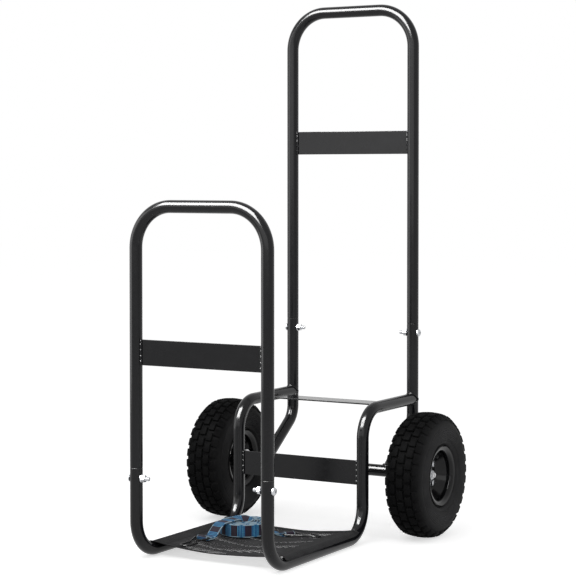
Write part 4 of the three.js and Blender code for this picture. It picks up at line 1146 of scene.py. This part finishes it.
def stitches(name, bar_place):
    """The box of stitching that closes a folded end."""
    centre, out, across = bar_frame(*bar_place)
    centre += Z * (FOLD_SPACING - FOLD_LOOP + STRAP_THICK / 2 + 0.15)
    near, far, half = -3 * FOLD_LOOP - 1, -FOLD_LENGTH + 1, 9.5
    corners = [centre + out * forward + across * aside
               for forward, aside in ((near, -half), (near, half), (far, half), (far, -half))]
    lines = list(zip(corners, corners[1:] + corners[:1])) + [corners[::2], corners[1::2]]
    bm = bmesh.new()
    for start, end in lines:
        count = max(2, round((end - start).length / STITCH))
        for k in range(count):
            a, b = start.lerp(end, (k + 0.14) / count), start.lerp(end, (k + 0.86) / count)
            along = b - a
            places = [(a - Z * 0.25, 0.7), (a + along * 0.2 + Z * 0.05, 1), (b - along * 0.2 + Z * 0.05, 1),
                      (b - Z * 0.25, 0.7)]
            bar(bm, [station(p, along, Z, s) for p, s in places], STITCH_WIRE, sides=6)
    return finished(bm, name, "cart", BAND_CLOTH, "webbing", smooth=60)


def wire_hook(name, bar_place, tilt, node_name):
    """A bent wire: a triangle through the strap's fold, then a shank bent back into a hook."""
    u, v, z, heading = bar_place
    half_bar, bend, far = STRAP / 2 + 3 * WIRE, 2 * WIRE, HOOK_LENGTH - WIRE
    path = bent([(Vector((x, y, 0)), radius) for x, y, radius in (
        (TRIANGLE - 6, 3.2 * WIRE, 0), (0, half_bar, bend), (0, -half_bar, bend), (TRIANGLE, -0.2, 3 * bend),
        (far, 1, HOOK_BEND), (far, 1 + 2 * HOOK_BEND, HOOK_BEND),
        (far - HOOK_BEND - HOOK_TIP, 4 + 2 * HOOK_BEND, 0),
    )], math.radians(8))

    def cut_end(end, way, inwards):
        """Stations from a cut end's face inwards, the wire heading `way` there."""
        return [station(end + way.normalized() * inwards * depth, way, Z, size)
                for depth, size in ((0, 0.55), (0.35, 0.85), (0.9, 1))]

    bm = bmesh.new()
    bar(bm, cut_end(*path[0], 1) + stations_of(path[1:-1], Z) + cut_end(*path[-1], -1)[::-1], WIRE, sides=20)
    matrix = (Matrix.Translation(on_cloth(u, v, z)) @ Matrix.Rotation(heading + ROLL_HEADING, 4, "Z")
              @ Matrix.Rotation(tilt, 4, "Y"))
    bmesh.ops.transform(bm, matrix=matrix, verts=bm.verts)
    return finished(bm, name, "cart", POWDER_COAT, "wire_paint", node_name)


# ---------- The cart, put together ----------

net_sheet = net()
left_band, right_band = band("left", -1), band("right", 1)
front_hem = hem("cloth_front_hem", CLOTH_FRONT)
back_hem = hem("cloth_back_hem", CLOTH_BACK - HEM)

strap_sheet = strap()
outer_stitches = stitches("strap_outer_stitches", OUTER_BAR)
inner_stitches = stitches("strap_inner_stitches", INNER_BAR)
wire_hook("strap_outer_wire_hook", OUTER_BAR, OUTER_TILT, "strap_outer_hook")
wire_hook("strap_inner_wire_hook", INNER_BAR, INNER_TILT, "strap_inner_hook")

u_frame("front_hoop", FRONT_SEAM, front_high.z, FRONT_Y, "front_frame")
u_frame("handle_hoop", HANDLE_SEAM, handle_high.z, BACK_Y, "handle_frame")
for hand, side in (("left", -1), ("right", 1)):
    base_rail(hand, side)
    rear_leg(hand, side)
    joint_bolt(hand, side, "front", FRONT_Y, FRONT_SEAM - BOLT_DROP)
    joint_bolt(hand, side, "handle", BACK_Y, HANDLE_SEAM - BOLT_DROP)
    tyre(hand)
    inner_tube(hand)
    rim_half(hand, "outer")
    rim_half(hand, "inner")
    hub_and_bearings(hand)
    rim_bolts(hand)
for where in ("front", "handle", "riser", "deck"):
    cross_plate(f"{where}_cross_plate", f"{where}_plate")
joint_welds()
axle()
for hand, side in (("left", -1), ("right", 1)):
    axle_end(hand, side)


# ---------- Floor and light ----------

FLOOR_GLOW, SOFT_LIGHT = 0.6, 0.5


def seen_directly(tree):
    """1 for rays that show the background: the camera's, and those in gloss and glass."""
    path = node(tree, "LightPath")
    camera_or_glass = (path.outputs[f"Is {kind} Ray"] for kind in ("Camera", "Transmission"))
    direct = math_node(tree, "MAXIMUM", *camera_or_glass)
    return math_node(tree, "MAXIMUM", direct, path.outputs["Is Glossy Ray"])


def floor():
    """A plain pale floor that keeps the cart's shadow and shows white beyond it."""
    made, tree, shader = surface("floor_paint", Base_Color=grey(0.8), Roughness=0.9,
                                 Specular_IOR_Level=0.0)
    glow = node(tree, "Emission", {"Color": (1, 1, 1, 1), "Strength": FLOOR_GLOW})
    both = node(tree, "AddShader", {0: shader.outputs[0], 1: glow.outputs[0]})
    shown = node(tree, "MixShader", {0: seen_directly(tree), 1: shader.outputs[0], 2: both.outputs[0]})
    tree.links.new(shown.outputs[0], tree.nodes["Material Output"].inputs["Surface"])
    bm = bmesh.new()
    bmesh.ops.create_grid(bm, x_segments=1, y_segments=1, size=12)
    drawn(bm, "floor", [made])


def world():
    made = bpy.data.worlds.new("studio")
    made.use_nodes = True
    tree = made.node_tree
    soft = tree.nodes["Background"]
    soft.inputs["Color"].default_value = (1, 1, 1, 1)
    soft.inputs["Strength"].default_value = SOFT_LIGHT
    white = node(tree, "Background", {"Color": (1, 1, 1, 1), "Strength": 1.0})
    both = node(tree, "MixShader", {0: seen_directly(tree), 1: soft.outputs[0], 2: white.outputs[0]})
    tree.links.new(both.outputs[0], tree.nodes["World Output"].inputs["Surface"])
    bpy.context.scene.world = made


def lamp(name, size, radiance, place_at, aim, matt=True, gloss=True):
    """A rectangular softbox that lights matt surfaces, shows in glossy ones, or both."""
    data = bpy.data.lights.new(name, "AREA")
    data.shape = "RECTANGLE"
    data.size, data.size_y = size
    data.energy = radiance * size[0] * size[1] * math.pi
    made = bpy.data.objects.new(name, data)
    made.location = place_at
    made.rotation_euler = (Vector(aim) - Vector(place_at)).to_track_quat("-Z", "Y").to_euler()
    made.visible_diffuse = matt
    made.visible_glossy = gloss
    made.visible_camera = False
    bpy.context.scene.collection.objects.link(made)


floor()
world()
lamp("key_softbox", (1.8, 1.2), 2.7, (-0.3, -1.6, 2.6), (0, 0, 0.5), gloss=False)
lamp("side_softbox", (0.8, 1.6), 3.6, (2.4, -0.6, 1.3), (0, 0, 0.5), gloss=False)
lamp("top_softbox", (2.8, 1.7), 54, (-0.7, -1.58, 2.38), (-0.7, -0.1, 0.9), matt=False)
lamp("front_panel", (5.2, 1.55), 1.5, (0.4, -2.9, 1.35), (0.4, 0, 1.35), matt=False)
lamp("left_panel", (1.6, 1.7), 3.0, (-2.3, -1.3, 0.9), (0, 0, 0.9), matt=False)
bpy.context.scene.view_settings.view_transform = "Standard"
